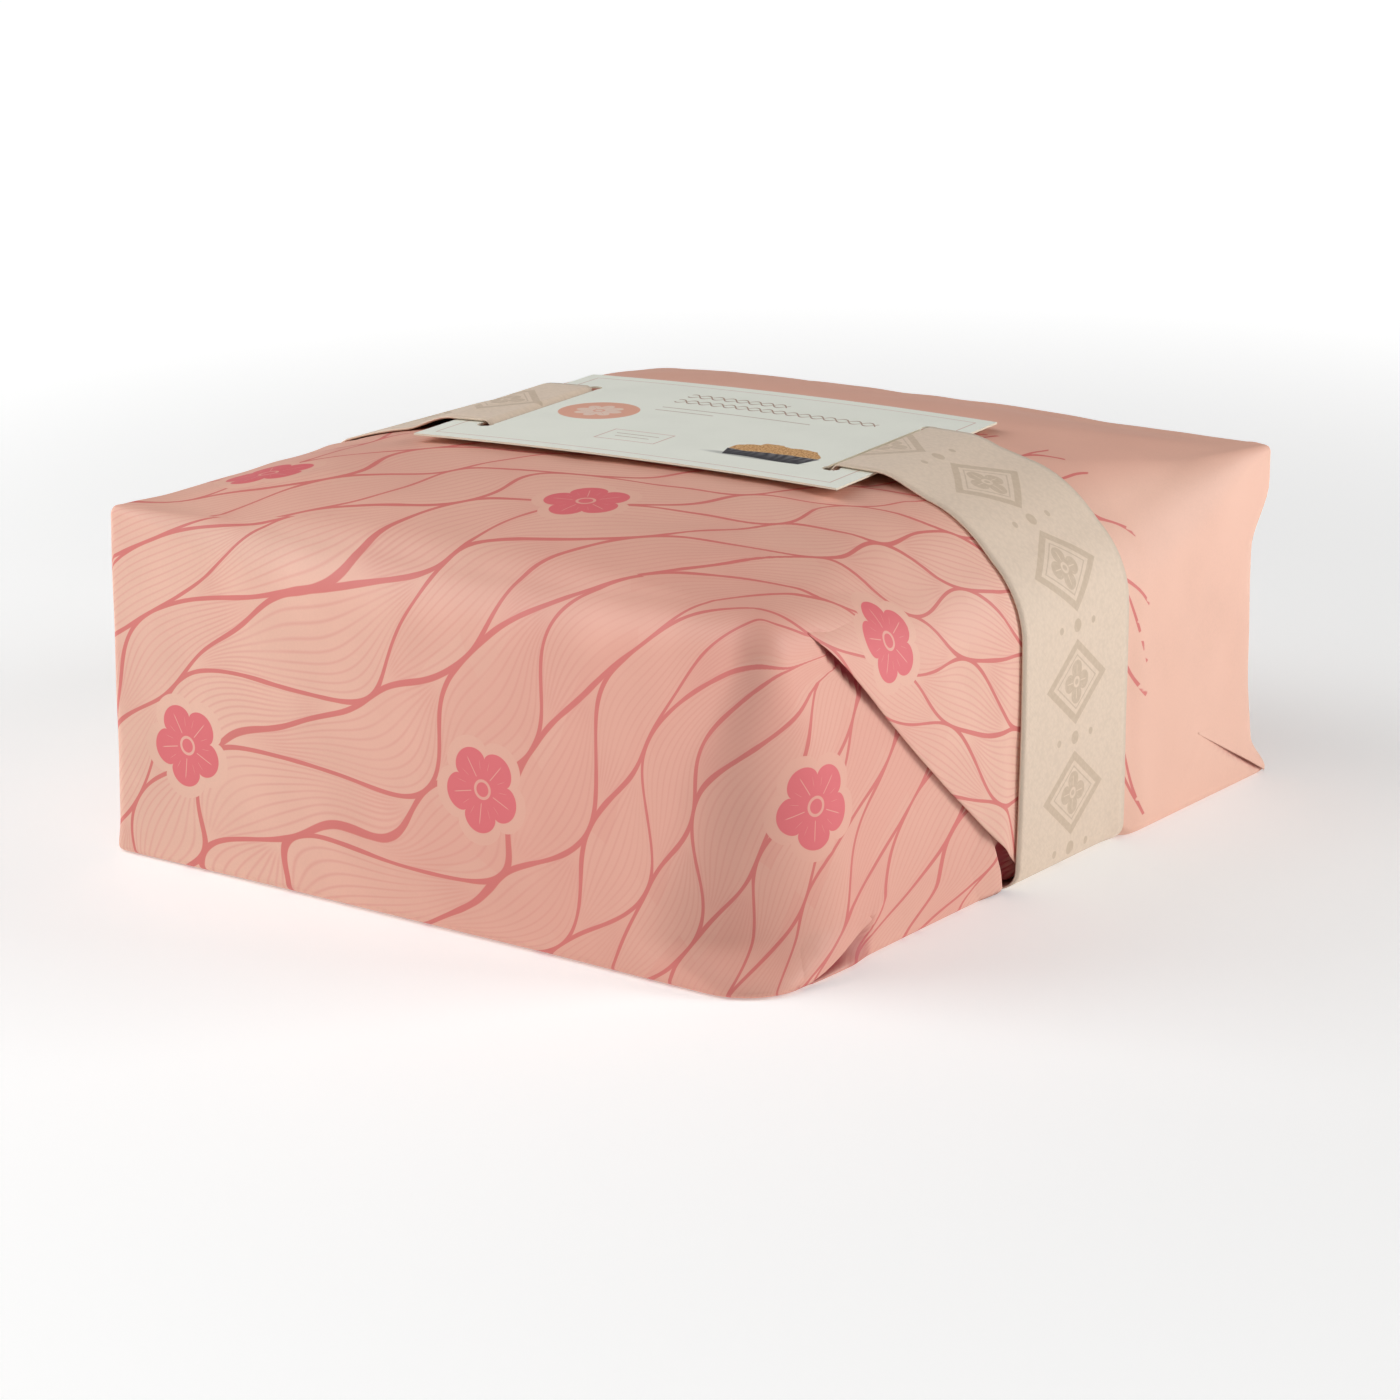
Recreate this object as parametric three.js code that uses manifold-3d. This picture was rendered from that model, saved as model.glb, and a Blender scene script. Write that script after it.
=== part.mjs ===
// A shut gift-wrapped pack for a large festive loaf: one sheet of printed paper folded
// round a low box-shaped form, a wide flat ribbon that runs lengthwise round it, and a
// card threaded on the ribbon through two slits.
// Millimetres, +Z up. X runs along the ribbon, -Y is the front, the pack stands on z = 0.

import * as THREE from "three";
import { ConvexGeometry } from "three/addons/geometries/ConvexGeometry.js";
import { mergeVertices } from "three/addons/utils/BufferGeometryUtils.js";
import Module from "manifold-3d";

const wasm = await Module();
wasm.setup();

// Size of the wrapped form
const HALF_LENGTH = 120.2;
const HALF_DEPTH = 138.8;
const EDGE_HEIGHT = 109;

// The loaf lifts the middle of the top, and the lift dies out before each side. It starts
// at this share of the height.
const LIFT_STARTS = 0.6;
const CROWN = 11.3;
const CROWN_REACH = { left: 117, right: 110, front: 128, back: 128 };
const CROWN_POWER = 4;

// The right end turns outwards towards the back, the left end leans out towards its foot,
// both bulge a little and spread at the foot behind the ribbon, and the back edge bows up
const RIGHT_FLARE = 2.5;
const LEFT_LEAN = 3;
const END_BULGE = 1;
const FOOT_SPREAD = { right: 2.6, left: 2.1, from: 38, over: 22, height: 45 };
const BACK_EDGE_BOW = 1.4;

// Upright corners from the near left one, anticlockwise. The radii are [height, radius]
// pairs: the near right corner is slack low down, and the others end in crisp paper ears.
const CORNERS = [
  { sx: -1, sy: -1, start: 180, radii: [[0, 3], [12, 5], [100, 2.5]] },
  { sx: 1, sy: -1, start: 270, radii: [[0, 19], [15, 45], [52, 31], [100, 12]] },
  { sx: 1, sy: 1, start: 0, radii: [[0, 2], [13, 15], [76, 16], [97, 1.5]] },
  { sx: -1, sy: 1, start: 90, radii: [[0, 5], [13, 16], [70, 22], [104, 34]] },
];
const SMALLEST_RADIUS = 0.8;

// Rounding of the top edge at each corner and along each side, from the front, and of
// the bottom edge along each side
const TOP_ROUND_CORNER = [2.5, 13, 2.5, 20];
const TOP_ROUND_SIDE = [21, 33, 5, 7];
const BOTTOM_ROUND_SIDE = [3, 2.5, 3, 2.5];
const BOTTOM_ROUND_CORNER = 2;
const ROUND_RAMP = 0.3;

// The top sheet folds down over each end. Its free edge runs on a slant from the near top
// corner to the ribbon, and stands proud of the side fold below it.
const FLAP = {
  top: new THREE.Vector2(-124, 105),
  tip: new THREE.Vector2(-15, 6),
  proud: 1.2,
  sunk: 0.36,
  gape: 0.9,
  gapeFrom: 0.3,
  gapeOver: 0.6,
  free: 12,
  settle: 42,
  fadeIn: 0.125,
  widenOver: 0.4,
  narrowest: 0.08,
  below: 3,
  skin: 2.5,
};

// Folds that gape at the foot of each end: the tuck at the near corner, and the slit that
// runs down to the far corner
const NEAR_TUCK = {
  apex: new THREE.Vector3(119, -90, 13.5),
  foot: new THREE.Vector3(113, -124, 5.5),
  lip: new THREE.Vector3(115, -117, 1.5),
  inward: new THREE.Vector3(-1, 1, 0.3),
  depth: 3,
};
const FAR_SLIT = {
  apex: new THREE.Vector3(123.5, 98, 22),
  foot: new THREE.Vector3(124, 140, 0.5),
  lip: new THREE.Vector3(124, 138.5, -1),
  inward: new THREE.Vector3(-1, 0, 0),
  depth: 3,
};
const WEDGE_OUTSIDE = 12;
const WEDGE_APEX_DEPTH = 0.4;

// Ribbon: a flat band, a little askew, seated in the soft underside of the pack. It leaves
// the card's end a little beyond it and settles back on the paper.
const RIBBON = {
  width: 60,
  thickness: 0.7,
  lift: 0.45,
  seat: 1.15,
  foot: 5,
  strips: 6,
  overhang: 1,
  settle: 17,
};
const RIBBON_TOP_FROM = -108;
const RIBBON_TOP_TO = 84;
const RIBBON_TOP_STEP = 6;
const GROOVE = { inner: 0.1, outer: 8, margin: 0.8 };

// Card: an A6 sheet that lies turned with the ribbon and bows with the top of the pack
const CARD = { length: 148, width: 105, thickness: 0.6, x: -3.5, y: 6.4, low: 122.4, bow: 1.3 };
const TURN = THREE.MathUtils.degToRad(5);
const CARD_GAP = 0.4;
const CARD_STEPS = 16;
const SLIT = { offset: 61, width: 4.4, length: 64, punch: 6, climb: 3, steps: 3 };

// Fineness of the facets
const ARC_STEPS = 6;
const SIDE_STEPS = 14;
const TOP_ROUND_STEPS = 6;
const BOTTOM_ROUND_STEPS = 3;
const WALL_LEVELS = [0.1, 0.22, 0.36, 0.52, 0.68, 0.84];
const TOP_SHRINKS = [0.93, 0.84, 0.72, 0.56, 0.34];
const LIP_STEPS_ALONG = 14;
const LIP_STEPS_IN = 4;
const WALL_STEPS = 5;
const SHOULDER_STEPS = 8;
const FOOT_STEPS = 4;
const UNDER_STEPS = 4;
const SEEK_PASSES = 3;

function smooth(t) {
  const c = THREE.MathUtils.clamp(t, 0, 1);
  return c * c * (3 - 2 * c);
}

// Value at height z of a list of [height, value] pairs, eased between them
function eased(pairs, z) {
  for (let i = 1; i < pairs.length; i++) {
    const [z0, v0] = pairs[i - 1];
    const [z1, v1] = pairs[i];
    if (z <= z1) {
      return v0 + (v1 - v0) * smooth((z - z0) / (z1 - z0));
    }
  }
  return pairs[pairs.length - 1][1];
}

function crown(x, y) {
  const fall = (t) => Math.max(0, 1 - t ** CROWN_POWER);
  const across = Math.abs(x) / (x < 0 ? CROWN_REACH.left : CROWN_REACH.right);
  const along = Math.abs(y) / (y < 0 ? CROWN_REACH.front : CROWN_REACH.back);
  return CROWN * fall(across) * fall(along);
}

// How far the top flap covers a place on an end: nothing in front of its slanted edge,
// easing to a full layer of folded paper
function flapCover(y, z) {
  const edge = FLAP.tip.clone().sub(FLAP.top).normalize();
  const away = edge.x * (z - FLAP.top.y) - edge.y * (y - FLAP.top.x);
  return smooth(away / FLAP.settle);
}

// How far an end stands out from its plain plane
function endOffset(side, y, z, cover) {
  const level = THREE.MathUtils.clamp(z / EDGE_HEIGHT, 0, 1);
  const bulge = END_BULGE * 4 * level * (1 - level) * Math.max(0, 1 - (y / HALF_DEPTH) ** 2);
  const turn = side > 0 ? RIGHT_FLARE * y / HALF_DEPTH : LEFT_LEAN * (1 - level);
  const spread = smooth((y - FOOT_SPREAD.from) / FOOT_SPREAD.over) * (1 - smooth(z / FOOT_SPREAD.height));
  const foot = (side > 0 ? FOOT_SPREAD.right : FOOT_SPREAD.left) * spread;
  return bulge + turn + foot + FLAP.proud * cover;
}

// Lean, bulge and crown, laid over the plain rounded form
function shaped(plan, z, cover = flapCover(plan.y, z)) {
  const side = Math.sign(plan.x);
  const out = side * smooth(Math.abs(plan.x) / HALF_LENGTH);
  const x = plan.x + out * endOffset(side, plan.y, z, cover);
  const high = smooth((z / EDGE_HEIGHT - LIFT_STARTS) / (1 - LIFT_STARTS));
  const bow = BACK_EDGE_BOW * smooth(plan.y / HALF_DEPTH) * Math.max(0, 1 - (x / HALF_LENGTH) ** 2);
  return new THREE.Vector3(x, plan.y, z + high * (bow + crown(plan.x, plan.y)));
}

// Rounding at a place on the outline: corner values, easing to the side's own value
function rounding(place, cornerValues, sideValues) {
  const own = cornerValues[place.corner];
  if (place.fraction === 0) {
    return own;
  }
  const next = cornerValues[(place.corner + 1) % 4];
  const between = own + (next - own) * place.fraction;
  const inner = smooth(place.fraction / ROUND_RAMP) * smooth((1 - place.fraction) / ROUND_RAMP);
  return between + (sideValues[place.corner] - between) * inner;
}

const BOTTOM_ROUND_CORNERS = CORNERS.map(() => BOTTOM_ROUND_CORNER);
const topRound = (place) => rounding(place, TOP_ROUND_CORNER, TOP_ROUND_SIDE);
const bottomRound = (place) => rounding(place, BOTTOM_ROUND_CORNERS, BOTTOM_ROUND_SIDE);

// Places round the outline, anticlockwise from the near left corner
function outlinePlaces() {
  const places = [];
  for (let corner = 0; corner < 4; corner++) {
    for (let i = 0; i <= ARC_STEPS; i++) {
      places.push({ corner, arc: i / ARC_STEPS, fraction: 0 });
    }
    for (let i = 1; i < SIDE_STEPS; i++) {
      places.push({ corner, arc: 1, fraction: i / SIDE_STEPS });
    }
  }
  return places;
}

function arcPoint(cornerIndex, arc, inset, z) {
  const corner = CORNERS[cornerIndex];
  const radius = Math.max(eased(corner.radii, z) - inset, SMALLEST_RADIUS);
  const angle = THREE.MathUtils.degToRad(corner.start + 90 * arc);
  return new THREE.Vector2(
    corner.sx * (HALF_LENGTH - inset - radius) + radius * Math.cos(angle),
    corner.sy * (HALF_DEPTH - inset - radius) + radius * Math.sin(angle),
  );
}

// Point of the outline at a place, drawn in by inset, at height z
function outlinePoint(place, inset, z) {
  const from = arcPoint(place.corner, place.arc, inset, z);
  if (place.fraction === 0) {
    return from;
  }
  return from.lerp(arcPoint((place.corner + 1) % 4, 0, inset, z), place.fraction);
}

// The rings of the wrapped form, from the bottom rim to the middle of the top
function formRings() {
  const places = outlinePlaces();
  const rings = [];
  const addRing = (pointAt) => rings.push(places.map(pointAt));
  for (let i = 0; i <= BOTTOM_ROUND_STEPS; i++) {
    const turn = (Math.PI / 2) * (i / BOTTOM_ROUND_STEPS);
    addRing((place) => {
      const r = bottomRound(place);
      const z = r * (1 - Math.cos(turn));
      return shaped(outlinePoint(place, r * (1 - Math.sin(turn)), z), z);
    });
  }
  for (const level of WALL_LEVELS) {
    addRing((place) => {
      const low = bottomRound(place);
      const z = low + (EDGE_HEIGHT - topRound(place) - low) * level;
      return shaped(outlinePoint(place, 0, z), z);
    });
  }
  for (let i = 0; i <= TOP_ROUND_STEPS; i++) {
    const turn = (Math.PI / 2) * (i / TOP_ROUND_STEPS);
    addRing((place) => {
      const r = topRound(place);
      const z = EDGE_HEIGHT - r * (1 - Math.sin(turn));
      return shaped(outlinePoint(place, r * (1 - Math.cos(turn)), z), z);
    });
  }
  for (const shrink of TOP_SHRINKS) {
    addRing((place) => {
      const plan = outlinePoint(place, topRound(place), EDGE_HEIGHT).multiplyScalar(shrink);
      return shaped(plan, EDGE_HEIGHT);
    });
  }
  return rings;
}

function indexedGeometry(points, index) {
  const geometry = new THREE.BufferGeometry();
  const numbers = points.flatMap((p) => [p.x, p.y, p.z]);
  geometry.setAttribute("position", new THREE.Float32BufferAttribute(numbers, 3));
  geometry.setIndex(index);
  return geometry;
}

// A closed mesh from stacked rings, with a point in the middle of each end
function ringsGeometry(rings, lowPoint, highPoint) {
  const count = rings[0].length;
  const low = rings.length * count;
  const high = low + 1;
  const last = (rings.length - 1) * count;
  const index = [];
  for (let i = 0; i < count; i++) {
    const j = (i + 1) % count;
    index.push(low, j, i);
    index.push(high, last + i, last + j);
    for (let r = 0; r + 1 < rings.length; r++) {
      const a = r * count;
      const b = a + count;
      index.push(a + i, a + j, b + j, a + i, b + j, b + i);
    }
  }
  return indexedGeometry([...rings.flat(), lowPoint, highPoint], index);
}

// A closed slab between two grids of points of the same size. The outer grid's normal is
// the column direction crossed with the row direction. A looped slab has no first and last row.
function slabGeometry(inner, outer, looped) {
  const rows = inner.length;
  const columns = inner[0].length;
  const innerAt = (i, j) => (i % rows) * columns + j;
  const outerAt = (i, j) => rows * columns + innerAt(i, j);
  const index = [];
  const quad = (a, b, c, d) => index.push(a, b, c, a, c, d);
  const right = columns - 1;
  for (let i = 0; i < (looped ? rows : rows - 1); i++) {
    for (let j = 0; j < right; j++) {
      quad(outerAt(i, j), outerAt(i, j + 1), outerAt(i + 1, j + 1), outerAt(i + 1, j));
      quad(innerAt(i, j), innerAt(i + 1, j), innerAt(i + 1, j + 1), innerAt(i, j + 1));
    }
    quad(innerAt(i, 0), outerAt(i, 0), outerAt(i + 1, 0), innerAt(i + 1, 0));
    quad(innerAt(i, right), innerAt(i + 1, right), outerAt(i + 1, right), outerAt(i, right));
  }
  if (!looped) {
    const end = rows - 1;
    for (let j = 0; j < right; j++) {
      quad(innerAt(0, j), innerAt(0, j + 1), outerAt(0, j + 1), outerAt(0, j));
      quad(innerAt(end, j), outerAt(end, j), outerAt(end, j + 1), innerAt(end, j + 1));
    }
  }
  return indexedGeometry([...inner.flat(), ...outer.flat()], index);
}

function toSolid(geometry) {
  const bare = geometry.clone();
  bare.deleteAttribute("normal");
  bare.deleteAttribute("uv");
  const merged = mergeVertices(bare, 1e-4);
  return new wasm.Manifold(new wasm.Mesh({
    numProp: 3,
    vertProperties: new Float32Array(merged.attributes.position.array),
    triVerts: new Uint32Array(merged.index.array),
  }));
}

function toGeometry(solid) {
  const mesh = solid.getMesh();
  const geometry = new THREE.BufferGeometry();
  geometry.setAttribute("position", new THREE.BufferAttribute(new Float32Array(mesh.vertProperties), 3));
  geometry.setIndex(new THREE.BufferAttribute(new Uint32Array(mesh.triVerts), 1));
  const loose = geometry.toNonIndexed();
  loose.computeVertexNormals();
  return loose;
}

// Outline place on an end at depth y, to read the rounding that the ribbon follows
function endPlace(side, y) {
  const fraction = (y + HALF_DEPTH) / (2 * HALF_DEPTH);
  return side > 0 ? { corner: 1, fraction } : { corner: 3, fraction: 1 - fraction };
}

// Point on an end's skin at depth y and height z, below the crown
function endPoint(side, y, z) {
  const r = topRound(endPlace(side, y));
  const over = THREE.MathUtils.clamp((z - (EDGE_HEIGHT - r)) / r, 0, 1);
  const x = side * (HALF_LENGTH - r * (1 - Math.sqrt(1 - over ** 2)));
  return shaped(new THREE.Vector2(x, y), z, 0);
}

// The slanted free edge of the top flap, as a lip of folded paper that stands proud at the
// edge, gapes towards its tip, and dives into the pack where the flap has settled
function flapLip(side) {
  const inner = [];
  const outer = [];
  const edge = FLAP.tip.clone().sub(FLAP.top);
  const away = new THREE.Vector2(-edge.y, edge.x).normalize();
  for (let i = 0; i <= LIP_STEPS_ALONG; i++) {
    const t = i / LIP_STEPS_ALONG;
    const innerRow = [];
    const outerRow = [];
    for (let j = 0; j <= LIP_STEPS_IN; j++) {
      const v = j / LIP_STEPS_IN;
      const reach = FLAP.settle * smooth(t / FLAP.widenOver + FLAP.narrowest);
      const place = FLAP.top.clone().addScaledVector(edge, t).addScaledVector(away, v * reach);
      place.y = Math.min(place.y, EDGE_HEIGHT - FLAP.below);
      const free = smooth((ribbonDepth(side * HALF_LENGTH, -RIBBON.width / 2) - place.x) / FLAP.free);
      const gape = FLAP.gape * free * smooth((t - FLAP.gapeFrom) / FLAP.gapeOver) * (1 - v) ** 2;
      const settled = (FLAP.proud - FLAP.sunk) * v ** 3;
      const stand = FLAP.proud * smooth(t / FLAP.fadeIn) + gape - settled;
      const skin = endPoint(side, place.x, place.y);
      outerRow.push(skin.clone().setX(skin.x + side * stand));
      innerRow.push(skin.clone().setX(skin.x - side * FLAP.skin));
    }
    inner.push(side < 0 ? innerRow : innerRow.reverse());
    outer.push(side < 0 ? outerRow : outerRow.reverse());
  }
  return toSolid(slabGeometry(inner, outer, false));
}

// A fold that gapes: nothing at its apex, opening to its full depth at the foot
function foldWedge(fold, side) {
  const mirrored = (p) => new THREE.Vector3(p.x * side, p.y, p.z);
  const inward = mirrored(fold.inward).normalize();
  const mouth = [fold.apex, fold.foot, fold.lip].map(mirrored);
  const depths = [WEDGE_APEX_DEPTH, fold.depth, fold.depth];
  const outside = mouth.map((p) => p.clone().addScaledVector(inward, -WEDGE_OUTSIDE));
  const inside = mouth.map((p, i) => p.clone().addScaledVector(inward, depths[i]));
  return toSolid(new ConvexGeometry([...outside, ...inside]));
}

// Point of the ribbon's line on the form. A stretch names part of the way round the pack,
// and t how far up or out along it the point lies.
function sectionPoint(stretch, side, t, y) {
  const round = topRound(endPlace(side, y));
  const foot = RIBBON.foot;
  const wallTop = EDGE_HEIGHT - round;
  const wallLow = RIBBON.seat + foot;
  const turn = (Math.PI / 2) * t;
  const at = (x, z) => shaped(new THREE.Vector2(side * x, y), z, 1);
  switch (stretch) {
    case "wall":
      return at(HALF_LENGTH, wallLow + (wallTop - wallLow) * t);
    case "shoulder":
      return at(HALF_LENGTH - round * (1 - Math.cos(turn)), EDGE_HEIGHT - round * (1 - Math.sin(turn)));
    case "foot":
      return at(HALF_LENGTH - foot * (1 - Math.sin(turn)), wallLow - foot * Math.cos(turn));
    default:
      return at((HALF_LENGTH - foot) * t, RIBBON.seat);
  }
}

// A place in the card's own directions: along its length and across it
function cardPlace(along, across) {
  return new THREE.Vector2(
    CARD.x + along * Math.cos(TURN) - across * Math.sin(TURN),
    CARD.y + along * Math.sin(TURN) + across * Math.cos(TURN),
  );
}

const alongCard = (x, y) => (x - CARD.x) * Math.cos(TURN) + (y - CARD.y) * Math.sin(TURN);

// Depth at which a line of the ribbon, at across from its middle, meets a place x
const ribbonDepth = (x, across) => CARD.y + (x - CARD.x) * Math.tan(TURN) + across / Math.cos(TURN);

const cardUnderside = (along) => CARD.low - CARD.bow * (2 * along / CARD.length) ** 2;

// Height gained where the ribbon comes up through a slit and lies on the card's end
function liftOverCard(point) {
  const along = alongCard(point.x, point.y);
  const reach = Math.abs(along);
  const up = smooth((reach - SLIT.offset) / SLIT.climb + 0.5);
  const down = 1 - smooth((reach - CARD.length / 2 - RIBBON.overhang) / RIBBON.settle);
  const resting = cardUnderside(along) + CARD.thickness + CARD_GAP - RIBBON.lift;
  return up * down * Math.max(0, resting - point.z);
}

// Places along the top where the ribbon has a row of points, closer together at the slits
function topStops() {
  const stops = [];
  for (let along = RIBBON_TOP_FROM; along <= RIBBON_TOP_TO; along += RIBBON_TOP_STEP) {
    if (Math.abs(Math.abs(along) - SLIT.offset) > SLIT.climb) {
      stops.push(along);
    }
  }
  for (const side of [-1, 1]) {
    for (let i = -SLIT.steps; i <= SLIT.steps; i++) {
      stops.push(side * SLIT.offset + SLIT.climb * i / (2 * SLIT.steps));
    }
  }
  return stops.sort((a, b) => b - a);
}

// The names, sides and steps of the way round, from the foot of the right end, and
// whether t runs upwards or outwards along it
const WAY_UP = [
  { stretch: "wall", side: 1, steps: WALL_STEPS, rising: true },
  { stretch: "shoulder", side: 1, steps: SHOULDER_STEPS, rising: true },
];
const WAY_DOWN = [
  { stretch: "shoulder", side: -1, steps: SHOULDER_STEPS, rising: false },
  { stretch: "wall", side: -1, steps: WALL_STEPS, rising: false },
];
const WAY_UNDER = [
  { stretch: "foot", side: -1, steps: FOOT_STEPS, rising: false },
  { stretch: "under", side: -1, steps: UNDER_STEPS, rising: false },
  { stretch: "under", side: 1, steps: UNDER_STEPS, rising: true },
  { stretch: "foot", side: 1, steps: FOOT_STEPS, rising: true },
];

// Points of one line of the ribbon over some stretches
function lineOver(way, across) {
  return way.flatMap(({ stretch, side, steps, rising }) => {
    const points = [];
    for (let i = 0; i < steps; i++) {
      const t = rising ? i / steps : 1 - i / steps;
      let point = new THREE.Vector3(side * HALF_LENGTH, 0, 0);
      for (let pass = 0; pass < SEEK_PASSES; pass++) {
        point = sectionPoint(stretch, side, t, ribbonDepth(point.x, across));
      }
      points.push(point);
    }
    return points;
  });
}

function lineOverTop(across) {
  return topStops().map((along) => {
    const point = shaped(cardPlace(along, across), EDGE_HEIGHT, 1);
    point.z += liftOverCard(point);
    return point;
  });
}

// Lines side by side across a band, turned into rows of points round the pack
function bandRows(width, lineAt) {
  const lines = [];
  for (let j = 0; j <= RIBBON.strips; j++) {
    lines.push(lineAt(width * (j / RIBBON.strips - 0.5)));
  }
  return lines[0].map((_, i) => lines.map((line) => line[i]));
}

// The same rows, moved outwards along the band's own normal
function offsetRows(rows, distance, looped) {
  const last = rows.length - 1;
  return rows.map((row, i) => {
    const before = looped ? rows[(i + last) % rows.length] : rows[Math.max(i - 1, 0)];
    const after = looped ? rows[(i + 1) % rows.length] : rows[Math.min(i + 1, last)];
    return row.map((point, j) => {
      const along = after[j].clone().sub(before[j]);
      const across = row[Math.min(j + 1, row.length - 1)].clone().sub(row[Math.max(j - 1, 0)]);
      const normal = across.cross(along).normalize();
      return point.clone().addScaledVector(normal, distance);
    });
  });
}

function ribbonBand() {
  const rows = bandRows(RIBBON.width, (across) => [
    ...lineOver(WAY_UP, across),
    ...lineOverTop(across),
    ...lineOver(WAY_DOWN, across),
    ...lineOver(WAY_UNDER, across),
  ]);
  const inner = offsetRows(rows, RIBBON.lift, true);
  const outer = offsetRows(rows, RIBBON.lift + RIBBON.thickness, true);
  return slabGeometry(inner, outer, true);
}

// What the ribbon presses out of the soft underside, with some room round it. It runs a
// little way up both ends, so that it clears the whole foot of the ribbon.
function ribbonGroove() {
  const rows = bandRows(RIBBON.width + 2 * GROOVE.margin, (across) => [
    ...lineOver(WAY_DOWN, across).slice(-1),
    ...lineOver(WAY_UNDER, across),
    ...lineOver(WAY_UP, across).slice(0, 2),
  ]);
  return toSolid(slabGeometry(
    offsetRows(rows, GROOVE.inner, false),
    offsetRows(rows, GROOVE.outer, false),
    false,
  ));
}

function cardSheet() {
  const low = [];
  const high = [];
  for (let i = 0; i <= CARD_STEPS; i++) {
    const along = CARD.length * (0.5 - i / CARD_STEPS);
    const z = cardUnderside(along);
    const ends = [-1, 1].map((side) => cardPlace(along, side * CARD.width / 2));
    low.push(ends.map((p) => new THREE.Vector3(p.x, p.y, z)));
    high.push(ends.map((p) => new THREE.Vector3(p.x, p.y, z + CARD.thickness)));
  }
  let sheet = toSolid(slabGeometry(low, high, false));
  for (const side of [-1, 1]) {
    const slit = new THREE.BoxGeometry(SLIT.width, SLIT.length, SLIT.punch);
    const place = cardPlace(side * SLIT.offset, 0);
    slit.rotateZ(TURN);
    slit.translate(place.x, place.y, cardUnderside(SLIT.offset));
    sheet = sheet.subtract(toSolid(slit));
  }
  return sheet;
}

function wrappedPack() {
  const low = new THREE.Vector3(0, 0, 0);
  const high = new THREE.Vector3(0, 0, EDGE_HEIGHT + CROWN);
  let pack = toSolid(ringsGeometry(formRings(), low, high));
  for (const side of [1, -1]) {
    pack = pack.add(flapLip(side));
  }
  for (const side of [1, -1]) {
    pack = pack.subtract(foldWedge(NEAR_TUCK, side)).subtract(foldWedge(FAR_SLIT, side));
  }
  return pack.subtract(ribbonGroove());
}

const paper = new THREE.MeshStandardMaterial({ color: 0xe6b3a0, roughness: 0.5, metalness: 0 });
const ribbonCloth = new THREE.MeshStandardMaterial({ color: 0xdfcbb7, roughness: 0.75, metalness: 0 });
const cardStock = new THREE.MeshStandardMaterial({ color: 0xe9e8de, roughness: 0.7, metalness: 0 });

function addPart(group, name, geometry, material) {
  const mesh = new THREE.Mesh(geometry, material);
  mesh.name = name;
  group.add(mesh);
}

const pack = new THREE.Group();
addPart(pack, "wrapped_pack", toGeometry(wrappedPack()), paper);
addPart(pack, "ribbon", ribbonBand(), ribbonCloth);
addPart(pack, "card", toGeometry(cardSheet()), cardStock);

export default pack;
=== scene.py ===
# %% [markdown]
# # A gift-wrapped festive bread pack
#
# One sheet of printed paper is folded round a low box-shaped form, a wide ribbon runs round its
# length, and a card is threaded on the ribbon. The solid model of the three is already packed. This
# lesson loads it as a fixed frame and dresses it: the paper gets its creases and its print, the
# ribbon its weave and edge cords, the card its slits and its printed border.

# %% Load the frame
import math
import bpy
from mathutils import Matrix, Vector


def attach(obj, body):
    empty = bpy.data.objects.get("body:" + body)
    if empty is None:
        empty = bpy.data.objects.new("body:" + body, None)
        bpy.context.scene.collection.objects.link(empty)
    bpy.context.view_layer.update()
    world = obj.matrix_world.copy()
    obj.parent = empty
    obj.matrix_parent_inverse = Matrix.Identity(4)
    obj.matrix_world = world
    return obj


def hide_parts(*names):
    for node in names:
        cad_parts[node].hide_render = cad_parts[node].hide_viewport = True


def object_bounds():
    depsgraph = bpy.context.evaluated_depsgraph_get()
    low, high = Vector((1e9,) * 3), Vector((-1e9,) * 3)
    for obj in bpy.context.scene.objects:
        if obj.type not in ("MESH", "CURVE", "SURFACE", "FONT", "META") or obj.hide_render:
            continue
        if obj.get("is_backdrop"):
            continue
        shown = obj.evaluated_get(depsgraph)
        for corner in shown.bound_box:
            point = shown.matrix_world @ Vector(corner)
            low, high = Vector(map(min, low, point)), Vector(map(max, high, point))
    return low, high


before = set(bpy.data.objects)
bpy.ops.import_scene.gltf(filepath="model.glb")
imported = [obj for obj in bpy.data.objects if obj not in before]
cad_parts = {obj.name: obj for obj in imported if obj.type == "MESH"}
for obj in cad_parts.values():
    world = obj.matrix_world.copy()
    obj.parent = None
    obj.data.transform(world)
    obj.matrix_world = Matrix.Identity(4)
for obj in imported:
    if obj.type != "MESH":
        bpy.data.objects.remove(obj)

from types import SimpleNamespace

import bpy
import numpy as np
from mathutils import Vector
from mathutils.bvhtree import BVHTree
from mathutils.interpolate import poly_3d_calc

MODEL_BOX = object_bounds()
print("frame loaded, box", [[round(c, 4) for c in corner] for corner in MODEL_BOX])

# %% [markdown]
# The camera comes first, because every later look is judged through it. The photograph shows two
# upright sides and the top, from a little over a metre away with a long lens. The place and the
# angles were fitted to the pack's corners and to the card, so no lens shift is needed.

# %% Camera
CAMERA_AT = Vector((0.6960, -0.9858, 0.3856))
CAMERA_AZIMUTH = math.radians(35.29)
CAMERA_ELEVATION = math.radians(16.16)
CAMERA_LENS = 102.86
NEAREST_SEEN = 0.05


def put(name, data):
    """A new object in the scene that shows this mesh, light or camera."""
    made = bpy.data.objects.new(name, data)
    bpy.context.scene.collection.objects.link(made)
    return made


def direction(azimuth, elevation):
    """Unit vector from the pack towards a place in the room."""
    level = math.cos(elevation)
    return Vector((math.sin(azimuth) * level, -math.cos(azimuth) * level, math.sin(elevation)))


def look_back(thing, outwards):
    """Turns a camera or a light to look back along the direction that it stands in."""
    thing.rotation_mode = "QUATERNION"
    thing.rotation_quaternion = (-outwards).to_track_quat("-Z", "Y")


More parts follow.
